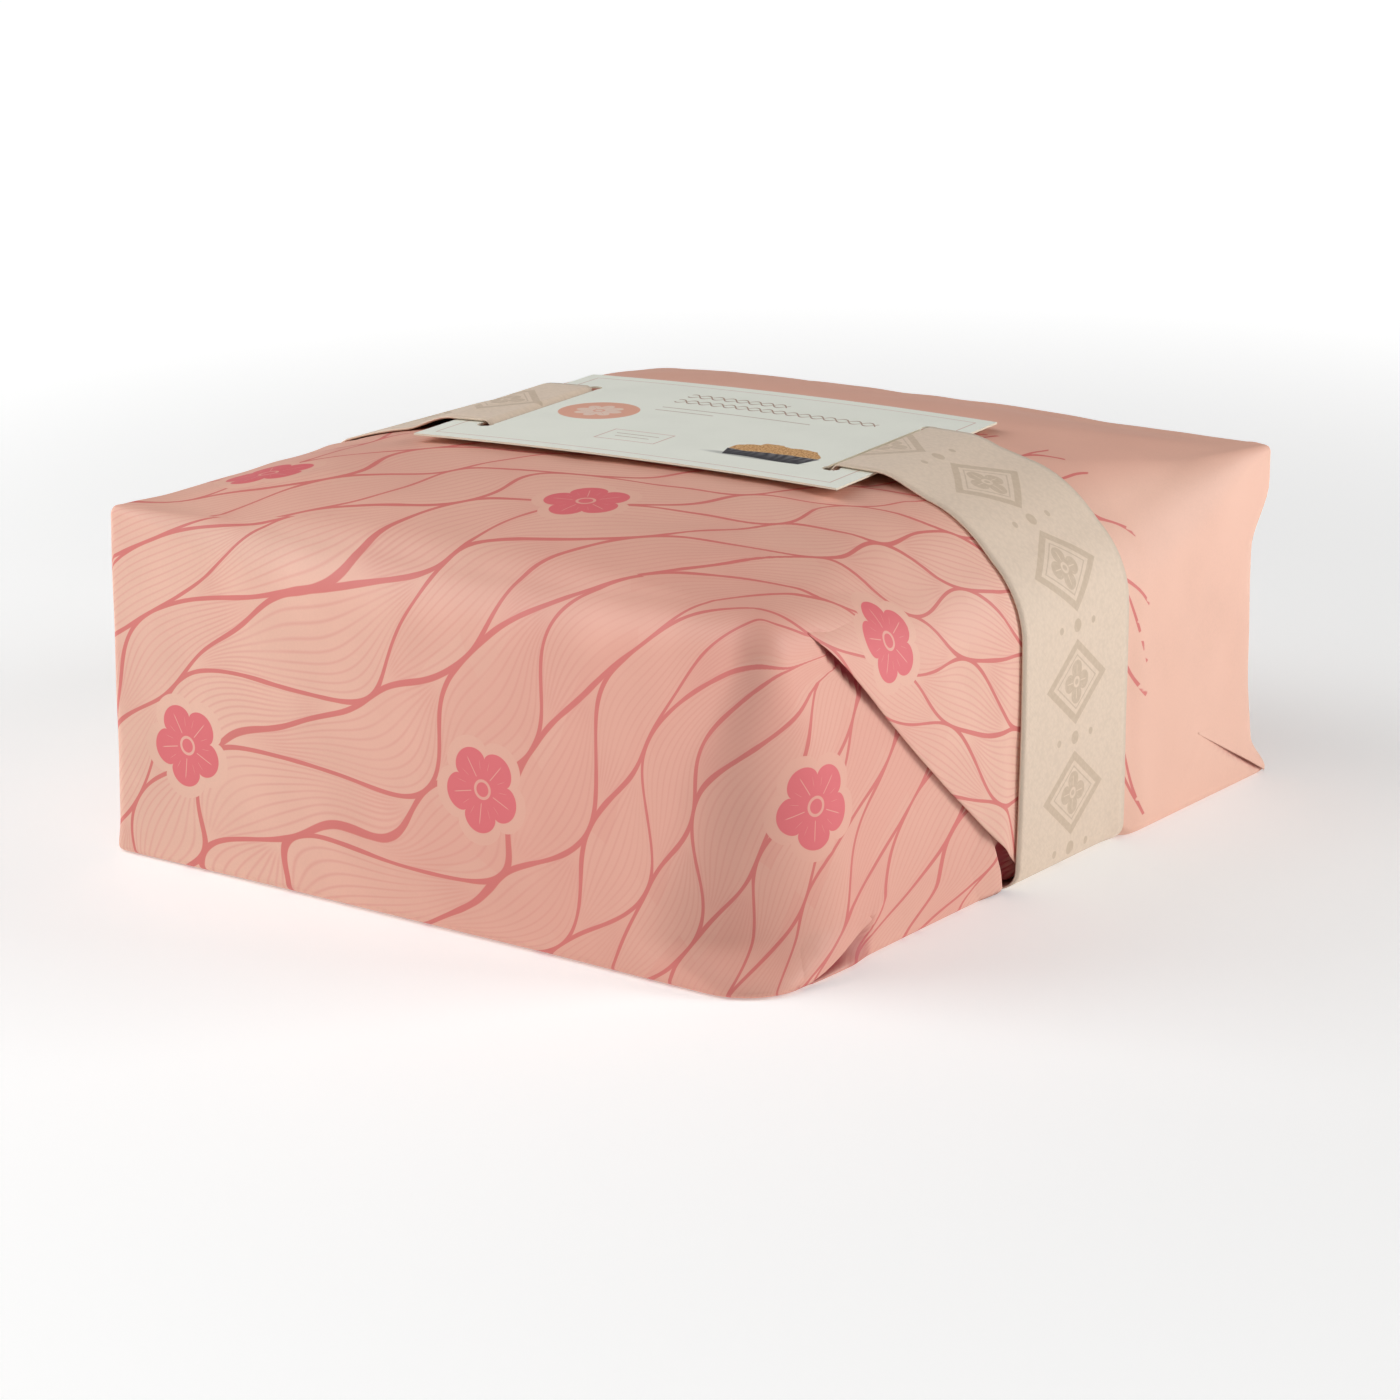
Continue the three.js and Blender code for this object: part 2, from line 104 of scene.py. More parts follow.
def make_camera():
    data = bpy.data.cameras.new("camera")
    data.lens = CAMERA_LENS
    data.clip_start = NEAREST_SEEN
    camera = put("camera", data)
    camera.location = CAMERA_AT
    look_back(camera, direction(CAMERA_AZIMUTH, CAMERA_ELEVATION))
    bpy.context.scene.camera = camera


make_camera()
print("camera at", [round(c, 3) for c in CAMERA_AT])

# %% [markdown]
# The pack stands on a pale table in a white room. A lit white table throws light back at the sides,
# so the floor is given a glow of its own, painted light that lights the sides from below, and it
# glows more further away, where it runs into the white background. The room itself is almost dark,
# which keeps the top from washing out, but it looks white to the camera. A large plain plane is
# enough for the floor, because nothing else is on it.

# %% The floor and the room
FLOOR_HALF = 60.0
FLOOR_PAINT = (0.78, 0.78, 0.775, 1)
FLOOR_ROUGHNESS = 0.8
FLOOR_GLOW = {"From Min": 0.3, "From Max": 1.4, "To Min": 0.3, "To Max": 0.95}
ROOM_TINT = (0.95, 0.97, 1.0, 1)
ROOM_LIGHT = 0.02
ROOM_SEEN = 1.06


def new_material(name):
    """A material with its tree, and its surface shader."""
    material = bpy.data.materials.new(name)
    material.use_nodes = True
    return material, material.node_tree, material.node_tree.nodes["Principled BSDF"]


def make_floor():
    """A wide plane whose glow grows with the distance from the pack, in metres."""
    mesh = bpy.data.meshes.new("floor")
    corners = [(x * FLOOR_HALF, y * FLOOR_HALF, 0) for x, y in ((-1, -1), (1, -1), (1, 1), (-1, 1))]
    mesh.from_pydata(corners, [], [(0, 1, 2, 3)])
    material, tree, shader = new_material("pale_floor")
    nodes, links = tree.nodes, tree.links
    shader.inputs["Base Color"].default_value = FLOOR_PAINT
    shader.inputs["Roughness"].default_value = FLOOR_ROUGHNESS
    shader.inputs["Emission Color"].default_value = (1, 1, 1, 1)
    place = nodes.new("ShaderNodeTexCoord")
    away = nodes.new("ShaderNodeVectorMath")
    away.operation = "LENGTH"
    glow = nodes.new("ShaderNodeMapRange")
    glow.interpolation_type = "SMOOTHSTEP"
    for label, amount in FLOOR_GLOW.items():
        glow.inputs[label].default_value = amount
    links.new(place.outputs["Object"], away.inputs[0])
    links.new(away.outputs["Value"], glow.inputs["Value"])
    # The floor's glow is painted light: it lights the pack's sides from below.
    links.new(glow.outputs["Result"], shader.inputs["Emission Strength"])
    mesh.materials.append(material)
    return put("floor", mesh)


def make_room():
    """A dim world that is white where the camera sees it directly."""
    world = bpy.data.worlds.new("pale_room")
    world.use_nodes = True
    nodes, links = world.node_tree.nodes, world.node_tree.links
    nodes["Background"].inputs["Color"].default_value = ROOM_TINT
    strength = nodes.new("ShaderNodeMapRange")
    strength.inputs["To Min"].default_value = ROOM_LIGHT
    strength.inputs["To Max"].default_value = ROOM_SEEN
    links.new(nodes.new("ShaderNodeLightPath").outputs["Is Camera Ray"], strength.inputs["Value"])
    links.new(strength.outputs["Result"], nodes["Background"].inputs["Strength"])
    bpy.context.scene.world = world
    bpy.context.scene.view_settings.view_transform = "Standard"


floor = make_floor()
floor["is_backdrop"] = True
make_room()
print("floor", 2 * FLOOR_HALF, "m wide, room light", ROOM_LIGHT)

# %% [markdown]
# The light in the photograph is soft and low. The right end and the upper front are bright, while
# the near corner between them is darker, and the top is darkest. No single lamp does that. A picture
# of a studio could, but this lesson reads no files. So five soft panels stand round the pack: a
# strong one off the right end, a weaker one at the front left, two small ones high over the front,
# and a faint one off the left end. Their strengths were tuned until each side that shows had about
# its tone in the photograph.

# %% The lights
PACK_MIDDLE = Vector((0.0, 0.0, 0.06))
LIGHTS = [
    {"name": "right_panel", "azimuth": 121, "elevation": 19, "away": 2.2, "side": 1.2, "watts": 32.5},
    {"name": "left_panel", "azimuth": -54, "elevation": 22, "away": 1.7, "side": 1.1, "watts": 10.5},
    {"name": "upper_panel", "azimuth": -45, "elevation": 46, "away": 1.3, "side": 0.9, "watts": 6.8},
    {"name": "top_panel", "azimuth": 20, "elevation": 60, "away": 1.3, "side": 0.9, "watts": 3.3},
    {"name": "rear_panel", "azimuth": 258, "elevation": 16, "away": 2.0, "side": 1.2, "watts": 4},
]


def make_light(name, azimuth, elevation, away, side, watts):
    data = bpy.data.lights.new(name, "AREA")
    data.size = side
    data.energy = watts
    light = put(name, data)
    outwards = direction(math.radians(azimuth), math.radians(elevation))
    light.location = PACK_MIDDLE + outwards * away
    look_back(light, outwards)


for light in LIGHTS:
    make_light(**light)
print("lights", [light["name"] for light in LIGHTS])

# %% [markdown]
# ## The wrapped form
#
# The paper follows a loaf in a low box: upright sides that bulge a little, a top that is lifted in
# the middle, crisp ears at three corners and one slack rounded corner. The solid model gives that
# form by a few rules, and the same rules are repeated here in millimetres, so that the finer paper
# lies where the solid does. A remeshed copy of the solid could be the base as well, but then nothing
# would say where a point is on the flat sheet. The rules work on whole arrays of places at once.

# %% Sizes of the form
MM = 0.001
HALF_LENGTH = 120.2
HALF_DEPTH = 138.8
EDGE_HEIGHT = 109.0
LIFT_STARTS = 0.6
CROWN = 11.3
CROWN_REACH = {"left": 117, "right": 110, "front": 128, "back": 128}
CROWN_POWER = 4
RIGHT_FLARE = 2.5
LEFT_LEAN = 3.0
END_BULGE = 1.0
FOOT_SPREAD = {"right": 2.6, "left": 2.1, "from": 38, "over": 22, "height": 45}
BACK_EDGE_BOW = 1.4
CORNER_SIGNS = np.array([(-1, -1), (1, -1), (1, 1), (-1, 1)], float)
CORNER_STARTS = np.radians([180, 270, 0, 90])
CORNER_RADII = [
    [(0, 3), (12, 5), (100, 2.5)],
    [(0, 19), (15, 45), (52, 31), (100, 12)],
    [(0, 2), (13, 15), (76, 16), (97, 1.5)],
    [(0, 5), (13, 16), (70, 22), (104, 34)],
]
SMALLEST_RADIUS = 0.8
TOP_ROUND_CORNER = np.array([2.5, 13, 2.5, 20])
TOP_ROUND_SIDE = np.array([21, 33, 5, 7.0])
BOTTOM_ROUND_CORNER = np.array([2.0, 2, 2, 2])
BOTTOM_ROUND_SIDE = np.array([3, 2.5, 3, 2.5])
ROUND_RAMP = 0.3
FLAP_TOP = np.array([-124.0, 105])
FLAP_TIP = np.array([-15.0, 6])
FLAP_PROUD = 1.2
FLAP_SETTLE = 42.0
QUARTER = math.pi / 2
FULL_TURN = 2 * math.pi


def smooth(t):
    """Eases from 0 to 1 as t does, and stays there outside."""
    c = np.clip(t, 0, 1)
    return c * c * (3 - 2 * c)


def eased(pairs, z):
    """Value at height z of a list of (height, value) pairs, eased between them."""
    value = np.full(np.shape(z), float(pairs[-1][1]))
    for (z0, v0), (z1, v1) in reversed(list(zip(pairs, pairs[1:]))):
        value = np.where(z <= z1, v0 + (v1 - v0) * smooth((z - z0) / (z1 - z0)), value)
    return value


print("form", 2 * HALF_LENGTH, "x", 2 * HALF_DEPTH, "x", EDGE_HEIGHT + CROWN, "mm")

# %% [markdown]
# The rules come in three steps. A plain rounded outline is drawn at each height. Its corners widen
# and narrow on the way up, as the slack paper does. Then lean, bulge and crown are laid over it.

# %% Rules of the form
def crown(x, y):
    """How far the loaf lifts the top."""
    across = np.abs(x) / np.where(x < 0, CROWN_REACH["left"], CROWN_REACH["right"])
    along = np.abs(y) / np.where(y < 0, CROWN_REACH["front"], CROWN_REACH["back"])
    return CROWN * np.clip(1 - across**CROWN_POWER, 0, 1) * np.clip(1 - along**CROWN_POWER, 0, 1)


def behind_flap_edge(y, z):
    """Distance of a place on an end wall behind the slanted free edge of the top flap."""
    edge = (FLAP_TIP - FLAP_TOP) / np.linalg.norm(FLAP_TIP - FLAP_TOP)
    return edge[0] * (z - FLAP_TOP[1]) - edge[1] * (y - FLAP_TOP[0])


def end_offset(side, y, z, cover):
    """How far an end wall stands out from its plain plane."""
    level = np.clip(z / EDGE_HEIGHT, 0, 1)
    bulge = END_BULGE * 4 * level * (1 - level) * np.clip(1 - (y / HALF_DEPTH) ** 2, 0, 1)
    turn = np.where(side > 0, RIGHT_FLARE * y / HALF_DEPTH, LEFT_LEAN * (1 - level))
    spread = smooth((y - FOOT_SPREAD["from"]) / FOOT_SPREAD["over"])
    spread = spread * (1 - smooth(z / FOOT_SPREAD["height"]))
    foot = np.where(side > 0, FOOT_SPREAD["right"], FOOT_SPREAD["left"]) * spread
    return bulge + turn + foot + FLAP_PROUD * cover


def shaped(x, y, z, cover=None):
    """Lean, bulge and crown, laid over the plain rounded form. Returns points."""
    if cover is None:
        cover = smooth(behind_flap_edge(y, z) / FLAP_SETTLE)
    side = np.sign(x)
    moved = x + side * smooth(np.abs(x) / HALF_LENGTH) * end_offset(side, y, z, cover)
    high = smooth((z / EDGE_HEIGHT - LIFT_STARTS) / (1 - LIFT_STARTS))
    bow = BACK_EDGE_BOW * smooth(y / HALF_DEPTH) * np.clip(1 - (moved / HALF_LENGTH) ** 2, 0, 1)
    return np.stack(np.broadcast_arrays(moved, y, z + high * (bow + crown(x, y))), -1)


def corner_values(place, own, side_values):
    """Rounding at places: the corner's own value, easing to the side's value between corners."""
    start = own[place.corner]
    between = start + (own[(place.corner + 1) % 4] - start) * place.fraction
    inner = smooth(place.fraction / ROUND_RAMP) * smooth((1 - place.fraction) / ROUND_RAMP)
    return between + (side_values[place.corner] - between) * inner


def top_round(place):
    return corner_values(place, TOP_ROUND_CORNER, TOP_ROUND_SIDE)


def bottom_round(place):
    return corner_values(place, BOTTOM_ROUND_CORNER, BOTTOM_ROUND_SIDE)


def outline_places(arc_steps, side_steps):
    """Places round the outline, anticlockwise from the near left corner."""
    rows = []
    for corner in range(4):
        rows += [(corner, i / arc_steps, 0.0) for i in range(arc_steps + 1)]
        rows += [(corner, 1.0, i / side_steps) for i in range(1, side_steps)]
    corner, arc, fraction = (np.array(column) for column in zip(*rows))
    return SimpleNamespace(corner=corner, arc=arc, fraction=fraction)


def arc_point(corner, arc, inset, z):
    """Plain x and y on a corner's arc, drawn in by inset, at height z."""
    each = np.stack([eased(pairs, np.broadcast_to(z, corner.shape)) for pairs in CORNER_RADII])
    radius = np.take_along_axis(each, corner[None], 0)[0] - inset
    radius = np.maximum(radius, SMALLEST_RADIUS)
    angle = CORNER_STARTS[corner] + QUARTER * arc
    x = CORNER_SIGNS[corner, 0] * (HALF_LENGTH - inset - radius) + radius * np.cos(angle)
    y = CORNER_SIGNS[corner, 1] * (HALF_DEPTH - inset - radius) + radius * np.sin(angle)
    return np.stack([x, y])


def outline_point(place, inset, z):
    """Plain x and y of the outline at places, drawn in by inset, at height z."""
    start = arc_point(place.corner, place.arc, inset, z)
    end = arc_point((place.corner + 1) % 4, 0 * place.arc, inset, z)
    return start + (end - start) * place.fraction


print("top of the middle at", round(float(shaped(0.0, 0.0, EDGE_HEIGHT)[2]), 2), "mm")

# %% [markdown]
# The ribbon's route is needed before the paper, because the paper is pressed flat under it. It runs
# along the card's own long direction, a few degrees askew, and is seated in the soft underside. The
# card's sizes stand beside it, as the two share their turn.

# %% Sizes of the ribbon and the card
RIBBON_WIDTH = 60.0
ORNAMENT_PITCH = 34.0
RIBBON_THICKNESS = 0.7
RIBBON_LIFT = 0.45
RIBBON_SEAT = 1.15
RIBBON_FOOT = 5.0
RIBBON_OVERHANG = 1.0
RIBBON_SETTLE = 17.0
CARD_LENGTH = 148.0
CARD_WIDTH = 105.0
CARD_THICKNESS = 0.6
CARD_X = -3.5
CARD_Y = 6.4
CARD_LOW = 122.4
CARD_BOW = 1.3
CARD_GAP = 0.4
TURN = math.radians(5)
SLIT_OFFSET = 61.0
SLIT_WIDTH = 4.4
SLIT_LENGTH = 64.0
SLIT_CLIMB = 3.0


def ribbon_depth(x, across):
    """Depth at which a line of the ribbon, at across from its middle, meets a place x."""
    return CARD_Y + (x - CARD_X) * math.tan(TURN) + across / math.cos(TURN)


def from_ribbon(x, y):
    """Distance of a place from the ribbon's middle line."""
    return np.abs(y - ribbon_depth(x, 0)) * math.cos(TURN)


def card_place(along, across):
    """Plain x and y of a place on the card, along and across from its middle."""
    x = CARD_X + along * math.cos(TURN) - across * math.sin(TURN)
    y = CARD_Y + along * math.sin(TURN) + across * math.cos(TURN)
    return x, y


print("ribbon", RIBBON_WIDTH, "mm wide, card", CARD_LENGTH, "x", CARD_WIDTH, "mm")

# %% [markdown]
# ## The paper
#
# Gift paper bends easily one way at a time, so it shows long soft ridges, a few sharp creases that
# start at corners, and hollows where a fold gapes. A cloth simulation would take long and give
# rounder folds than paper has. Here each ridge and crease is a short rule instead: a line in space,
# a width and a height. All of them are added up into one relief, which is laid on the form along
# its normals.

# %% Relief rules
RIDGE_ENDS = 0.3


def ripples(points, wavelength, seed, count=14):
    """Smooth random unevenness about 1 high, the same on every run."""
    random = np.random.default_rng(seed)
    ways = random.normal(size=(count, 3))
    ways *= (random.uniform(0.7, 1.3, count) / np.linalg.norm(ways, axis=1))[:, None]
    phases = random.uniform(0, 2 * math.pi, count)
    waves = np.sin(points @ ways.T * (2 * math.pi / wavelength) + phases)
    return waves.sum(-1) * math.sqrt(2 / count)


def beside(points, start, end):
    """Distance from the line between two points, and the share of the way along it."""
    start, end = np.array(start, float), np.array(end, float)
    way = end - start
    share = np.clip((points - start) @ way / (way @ way), 0, 1)
    return np.linalg.norm(points - start - share[..., None] * way, axis=-1), share


def soft_ridge(points, start, end, width, height):
    """A rounded fold that dies out at both ends."""
    away, share = beside(points, start, end)
    ends = smooth(share / RIDGE_ENDS), smooth((1 - share) / RIDGE_ENDS)
    return height * np.exp(-((away / width) ** 2)) * ends[0] * ends[1]


def sharp_crease(points, start, end, width, height):
    """A crease with a narrow crest, full at its start and fading towards its end."""
    away, share = beside(points, start, end)
    return height * np.clip(1 - away / width, 0, 1) ** 2 * smooth(1 - share)


def hollow(points, apex, foot, towards, reach, depth, peak):
    """A recess on one side of a line. It is deepest along the line, at the share peak of its length."""
    apex, foot, towards = (np.array(p, float) for p in (apex, foot, towards))
    length = np.linalg.norm(foot - apex)
    way = (foot - apex) / length
    towards = towards - way * (towards @ way)
    towards = towards / np.linalg.norm(towards)
    share = (points - apex) @ way / length
    aside = (points - apex) @ towards
    near, _ = beside(points, apex, foot)
    inside = smooth(aside / 2 + 2) * (1 - smooth(aside / reach)) * (near < 2 * reach + 4)
    return depth * inside * smooth(share / peak) * smooth((1.1 - share) / (1.1 - peak))


print("relief rules ready")

# %% [markdown]
# On the real sheet the loaf's box sends soft ridges over the sides and the top, and the paper's own
# folded corners start sharp creases. On the sides that show, each was read off the photograph as a
# line from one point to another, and the hidden sides get some of the same kinds. A painted bump
# could draw them too, but it would be flat at the outline and in the exported mesh.

# %% Where the paper is creased
RELIEF_SEED = 11
RIPPLES = [(66, 0.2), (24, 0.08)]
EDGE_RIPPLE = {
    "height": 98, "reach": 13, "depth": -120, "fade": 12, "rise": 0.2, "wave": 17, "stray": 31,
}
PUFF = {"aside": 9, "reach": 5, "rise": 0.45}
PRESSED_BESIDE = 1.0
PRESSED_FADE = 7.0
RELIEF_FOOT = 9.0
SOFT_RIDGES = [
    ((104, -141, 92), (112, -139, 6), 9, 0.8),
    ((-60, -139, 104), (20, -139, 100), 14, 0.3),
    ((36, -139, 98), (96, -138, 84), 10, -0.4),
    ((-112, -139, 96), (-66, -139, 22), 12, 0.4),
    ((-20, -139, 20), (60, -139, 78), 16, -0.4),
    ((60, -118, 118), (100, -84, 113), 6, 0.9),
    ((30, -96, 120), (98, -56, 114), 7, -0.7),
    ((66, -60, 121), (110, -28, 104), 5, 0.7),
    ((118, -118, 98), (124, -60, 60), 8, 0.6),
    ((121, -100, 96), (122, -30, 70), 6, -0.6),
    ((120, -72, 100), (123, -26, 36), 5, 0.6),
    ((123, 60, 100), (124, 96, 12), 12, 0.7),
    ((122, 120, 108), (124, 84, 66), 10, 0.8),
    ((60, 70, 120), (118, 130, 110), 8, 0.8),
    ((-40, 90, 119), (90, 124, 113), 9, -0.6),
    ((-60, -80, 120), (-112, -120, 110), 7, 0.7),
    ((-121, -100, 90), (-123, 10, 60), 9, 0.8),
    ((-122, 40, 96), (-124, 100, 16), 10, 0.8),
    ((-70, 139, 96), (40, 139, 70), 13, 0.8),
    ((20, 139, 30), (100, 139, 88), 12, -0.7),
]
SHARP_CREASES = [
    ((121, -122, 104), (123, -80, 92), 2.4, 0.6),
    ((118, 136, 110), (90, 108, 115), 2.6, 0.6),
    ((119, 137, 108), (122, 110, 86), 2.6, 0.6),
    ((-118, -137, 108), (-92, -116, 113), 2.4, 0.6),
    ((-118, -138, 106), (-108, -139, 74), 2.4, 0.5),
    ((119, -86, 12), (121, -62, 30), 2.6, 0.7),
    ((119, -88, 12), (104, -134, 40), 3.0, 0.6),
    ((112, -124, 8), (64, -138, 14), 2.8, -0.6),
    ((124, 95, 20), (125, 74, 2), 3.0, 0.6),
    ((124, 130, 6), (123, 112, 40), 2.6, 0.6),
    ((-122, 132, 8), (-123, 100, 42), 2.6, 0.6),
]


def pressed(points):
    """1 under the ribbon, easing to 0 beside it."""
    aside = from_ribbon(points[..., 0], points[..., 1]) - RIBBON_WIDTH / 2
    return 1 - smooth((aside - PRESSED_BESIDE) / PRESSED_FADE)


def relief(points):
    """Height of all the creases at places on the paper."""
    x, y, z = (points[..., i] for i in range(3))
    total = 0
    for step, (wavelength, height) in enumerate(RIPPLES):
        total = total + height * ripples(points, wavelength, RELIEF_SEED + step)
    for crease in SOFT_RIDGES:
        total = total + soft_ridge(points, *crease)
    for crease in SHARP_CREASES:
        total = total + sharp_crease(points, *crease)
    edge = EDGE_RIPPLE
    on_edge = np.exp(-(((z - edge["height"]) / edge["reach"]) ** 2))
    on_edge = on_edge * smooth((edge["depth"] - y) / edge["fade"])
    wave = np.sin(x / edge["wave"] + 0.6 * np.sin(x / edge["stray"]))
    total = total + on_edge * edge["rise"] * wave
    aside = from_ribbon(x, y) - RIBBON_WIDTH / 2
    total = total + PUFF["rise"] * np.exp(-(((aside - PUFF["aside"]) / PUFF["reach"]) ** 2))
    return total * (1 - pressed(points)) * smooth(z / RELIEF_FOOT)


print(len(SOFT_RIDGES), "soft ridges,", len(SHARP_CREASES), "sharp creases")

# %% [markdown]
# Where a fold stands open, the paper behind it lies deeper and in the dark: beside the slit at the
# far corner, under the flap's free edge, under the tuck at the near corner's foot, and in a pit beside
# the ribbon. They could be cut into the mesh, but the edge of such a cut would be jagged. So they are
# pressed into the skin by rules, and each rule also says how much shade is painted on its place.

# %% Hollows under the folds
HOLLOWS = [
    ((123.5, 94, 23), (124, 137, 1), (0, -1, -1), 1.6, 0.9, 0.8),
    ((118, -117, 102.5), (120, -82, 70), (0, -1, -1), 1.5, 1.9, 0.35),
]
ON_END = 90.0
SHADE_FROM = 0.4
SHADE_FADE = 0.8
# Recess depth at which the painted shade is full.
PAINTED_SHADE_FULL_DEPTH = 1.6
PIT_MIDDLE = (-16.5, 5.0)
PIT_SIZE = (6.0, 11.0)
PIT_DEPTH = 5.0
TUCK_CENTRE = (75.0, -94.0)
TUCK_TURN = math.radians(10)
TUCK_SPAN = math.radians(43)
TUCK_LOW = 0.6
TUCK_TOP = 11.8
TUCK_DEPTH = 3.6
TONGUE_OUT = 2.2
TUCK_WALL = 37.0
TUCK_BEND = 1.1
# Share of the full painted shade that the tuck's flat facet gets.
FACET_PAINTED_SHADE = 0.5


def tuck_edge(share):
    """Height of the near tuck's free edge, which falls from its fold point to the floor."""
    return TUCK_LOW + (TUCK_TOP - TUCK_LOW) * (1 - np.clip(share, 0, 1)) ** TUCK_BEND


def under_tuck(points):
    """Recess under the near tuck, and the shade painted there.

    Below it the paper comes out as a low tongue. share runs from 0 at the fold point to 1 where the
    edge meets the floor. The first third of the way is a flat facet with half the painted shade, and
    the rest a pocket with full painted shade.
    """
    out_x, out_y = points[..., 0] - TUCK_CENTRE[0], points[..., 1] - TUCK_CENTRE[1]
    share = (TUCK_TURN - np.arctan2(out_y, out_x)) / TUCK_SPAN
    on_wall = smooth((np.hypot(out_x, out_y) - TUCK_WALL) / 4)
    level = points[..., 2] / tuck_edge(share)
    below = on_wall * (1 - smooth((points[..., 2] - tuck_edge(share) - 0.8) / 1.2))
    along = np.clip(share / 0.3, 0, 1) * (1 - smooth((share - 0.8) / 0.2))
    depth = (TUCK_DEPTH + TONGUE_OUT) * smooth(level) - TONGUE_OUT
    # Painted shade: half on the facet, full in the pocket, none where the edge meets the floor.
    facet = FACET_PAINTED_SHADE * smooth(share / 0.06) * (1 - smooth((share - 0.34) / 0.1))
    pocket = smooth((level - 0.2) / 0.4) * smooth((share - 0.3) / 0.15)
    dark = np.maximum(facet, pocket) * (1 - smooth((share - 0.95) / 0.1))
    return depth * below * along, dark * below


def pit(points):
    """The pit under the flap's tip, beside the ribbon. Its depth also sets the shade painted in it."""
    aside = (points[..., 1] - PIT_MIDDLE[0]) / PIT_SIZE[0]
    level = (points[..., 2] - PIT_MIDDLE[1]) / PIT_SIZE[1]
    return PIT_DEPTH * np.exp(-(aside**4) - level**4)


def end_recesses(points):
    """Hollows of the right end, mirrored on the left.

    They are the depth of the folds, the depth of what is tucked in, which is pressed in level with
    the floor, and the shade painted on both.
    """
    folds, tucked, dark = 0, 0, 0
    for side in (1, -1):
        mirrored = points * np.array([side, 1, 1])
        on_end = mirrored[..., 0] > ON_END
        for recess in HOLLOWS:
            folds = folds + hollow(mirrored, *recess) * on_end
        deep, shaded = under_tuck(mirrored)
        pocket = pit(mirrored)
        tucked = tucked + (deep + pocket) * on_end
        # Painted shade from the tuck, and from the pit by its depth.
        dark = dark + (shaded + np.clip(pocket / PAINTED_SHADE_FULL_DEPTH, 0, 1)) * on_end
    on_wall = smooth((points[..., 2] - SHADE_FROM) / SHADE_FADE)
    return folds, tucked, (np.clip(folds / PAINTED_SHADE_FULL_DEPTH, 0, 1) + dark) * on_wall


print(len(HOLLOWS), "hollows, a tuck and a pit on each end")

# %% [markdown]
# The paper is one closed skin. Rings of points climb from the middle of the underside, round the
# foot, up the walls, over the rounded edge and in to the middle of the top. Every point also keeps
# its place on the flat sheet, in millimetres, because the print must follow the paper as it is
# folded: the front sheet wraps round the near corners, while the top sheet folds down over the ends.

# %% The rings of the skin
ARC_STEPS = 14
SIDE_STEPS = 136
UNDER_RINGS = 24
FOOT_RINGS = 6
WALL_RINGS = 46
EDGE_RINGS = 17
TOP_RINGS = 42
UNDER_LIFT = 0.35
GROOVE_LIFT = 1.05
GROOVE_FADE = 9.0
GROOVE_SIDE = 6.0
GROOVE_MARGIN = 0.9
WALL_GATHER = 1.3
RIBBON_BOTTOM_ROUND = 6.2
CUT_CORNER = 2 - QUARTER
SHEET_EDGE = 8.0
BLEND_FROM = 86.0
BLEND_OVER = 16.0
LAP_AT = -62.0
LAP_COVERS = 5.0
PLAIN_T = 420.0
LEVEL = np.array([1.0, 1.0, 0.0])

PLACE = outline_places(ARC_STEPS, SIDE_STEPS)
PLACES = len(PLACE.corner)
IS_END = np.where(PLACE.corner % 2 == 1, PLACE.arc, 1 - PLACE.arc)
IS_END = np.where(PLACE.fraction > 0, (PLACE.corner % 2 == 1) * 1.0, smooth(IS_END))
FRONT_MIDDLE = ARC_STEPS + SIDE_STEPS // 2


def floor_lift(x, y):
    """Height of the underside: a little over the floor, and more in the ribbon's groove."""
    groove = 1 - smooth((from_ribbon(x, y) - RIBBON_WIDTH / 2 - GROOVE_MARGIN) / GROOVE_SIDE)
    return UNDER_LIFT + (GROOVE_LIFT - UNDER_LIFT) * groove


def front_round(x):
    """Rounding of the front top edge over a place x of the sheet."""
    fraction = np.clip((x + HALF_LENGTH) / (2 * HALF_LENGTH), 0, 1)
    place = SimpleNamespace(corner=np.zeros(np.shape(x), int), fraction=fraction)
    return top_round(place)


def sheet_t(x, y):
    """Distance up the sheet of a place on the top or on an end flap."""
    return y + HALF_DEPTH + EDGE_HEIGHT - CUT_CORNER * front_round(x)


def add_ring(rings, plan, z, climb, drop=None):
    """Keeps one ring: its points, and its places on the wrapped and on the folded-down sheet."""
    x, y = plan
    lifted = z + floor_lift(x, y) * (1 - smooth(z / GROOVE_FADE))
    steps = np.hypot(np.diff(x, append=x[0]), np.diff(y, append=y[0]))
    run = np.concatenate([[0], np.cumsum(steps)[:-1]])
    run = run - run[FRONT_MIDDLE] + x[FRONT_MIDDLE]
    around = np.where(run > steps.sum() / 2, run - steps.sum(), run)
    folded = x
    if drop is not None:
        over = np.sign(x) * (HALF_LENGTH - top_round(PLACE) + drop)
        folded = x + (over - x) * IS_END
    wrapped = np.stack([around, climb], -1)
    rings.append((shaped(x, y, lifted), wrapped, np.stack([folded, sheet_t(x, y)], -1)))


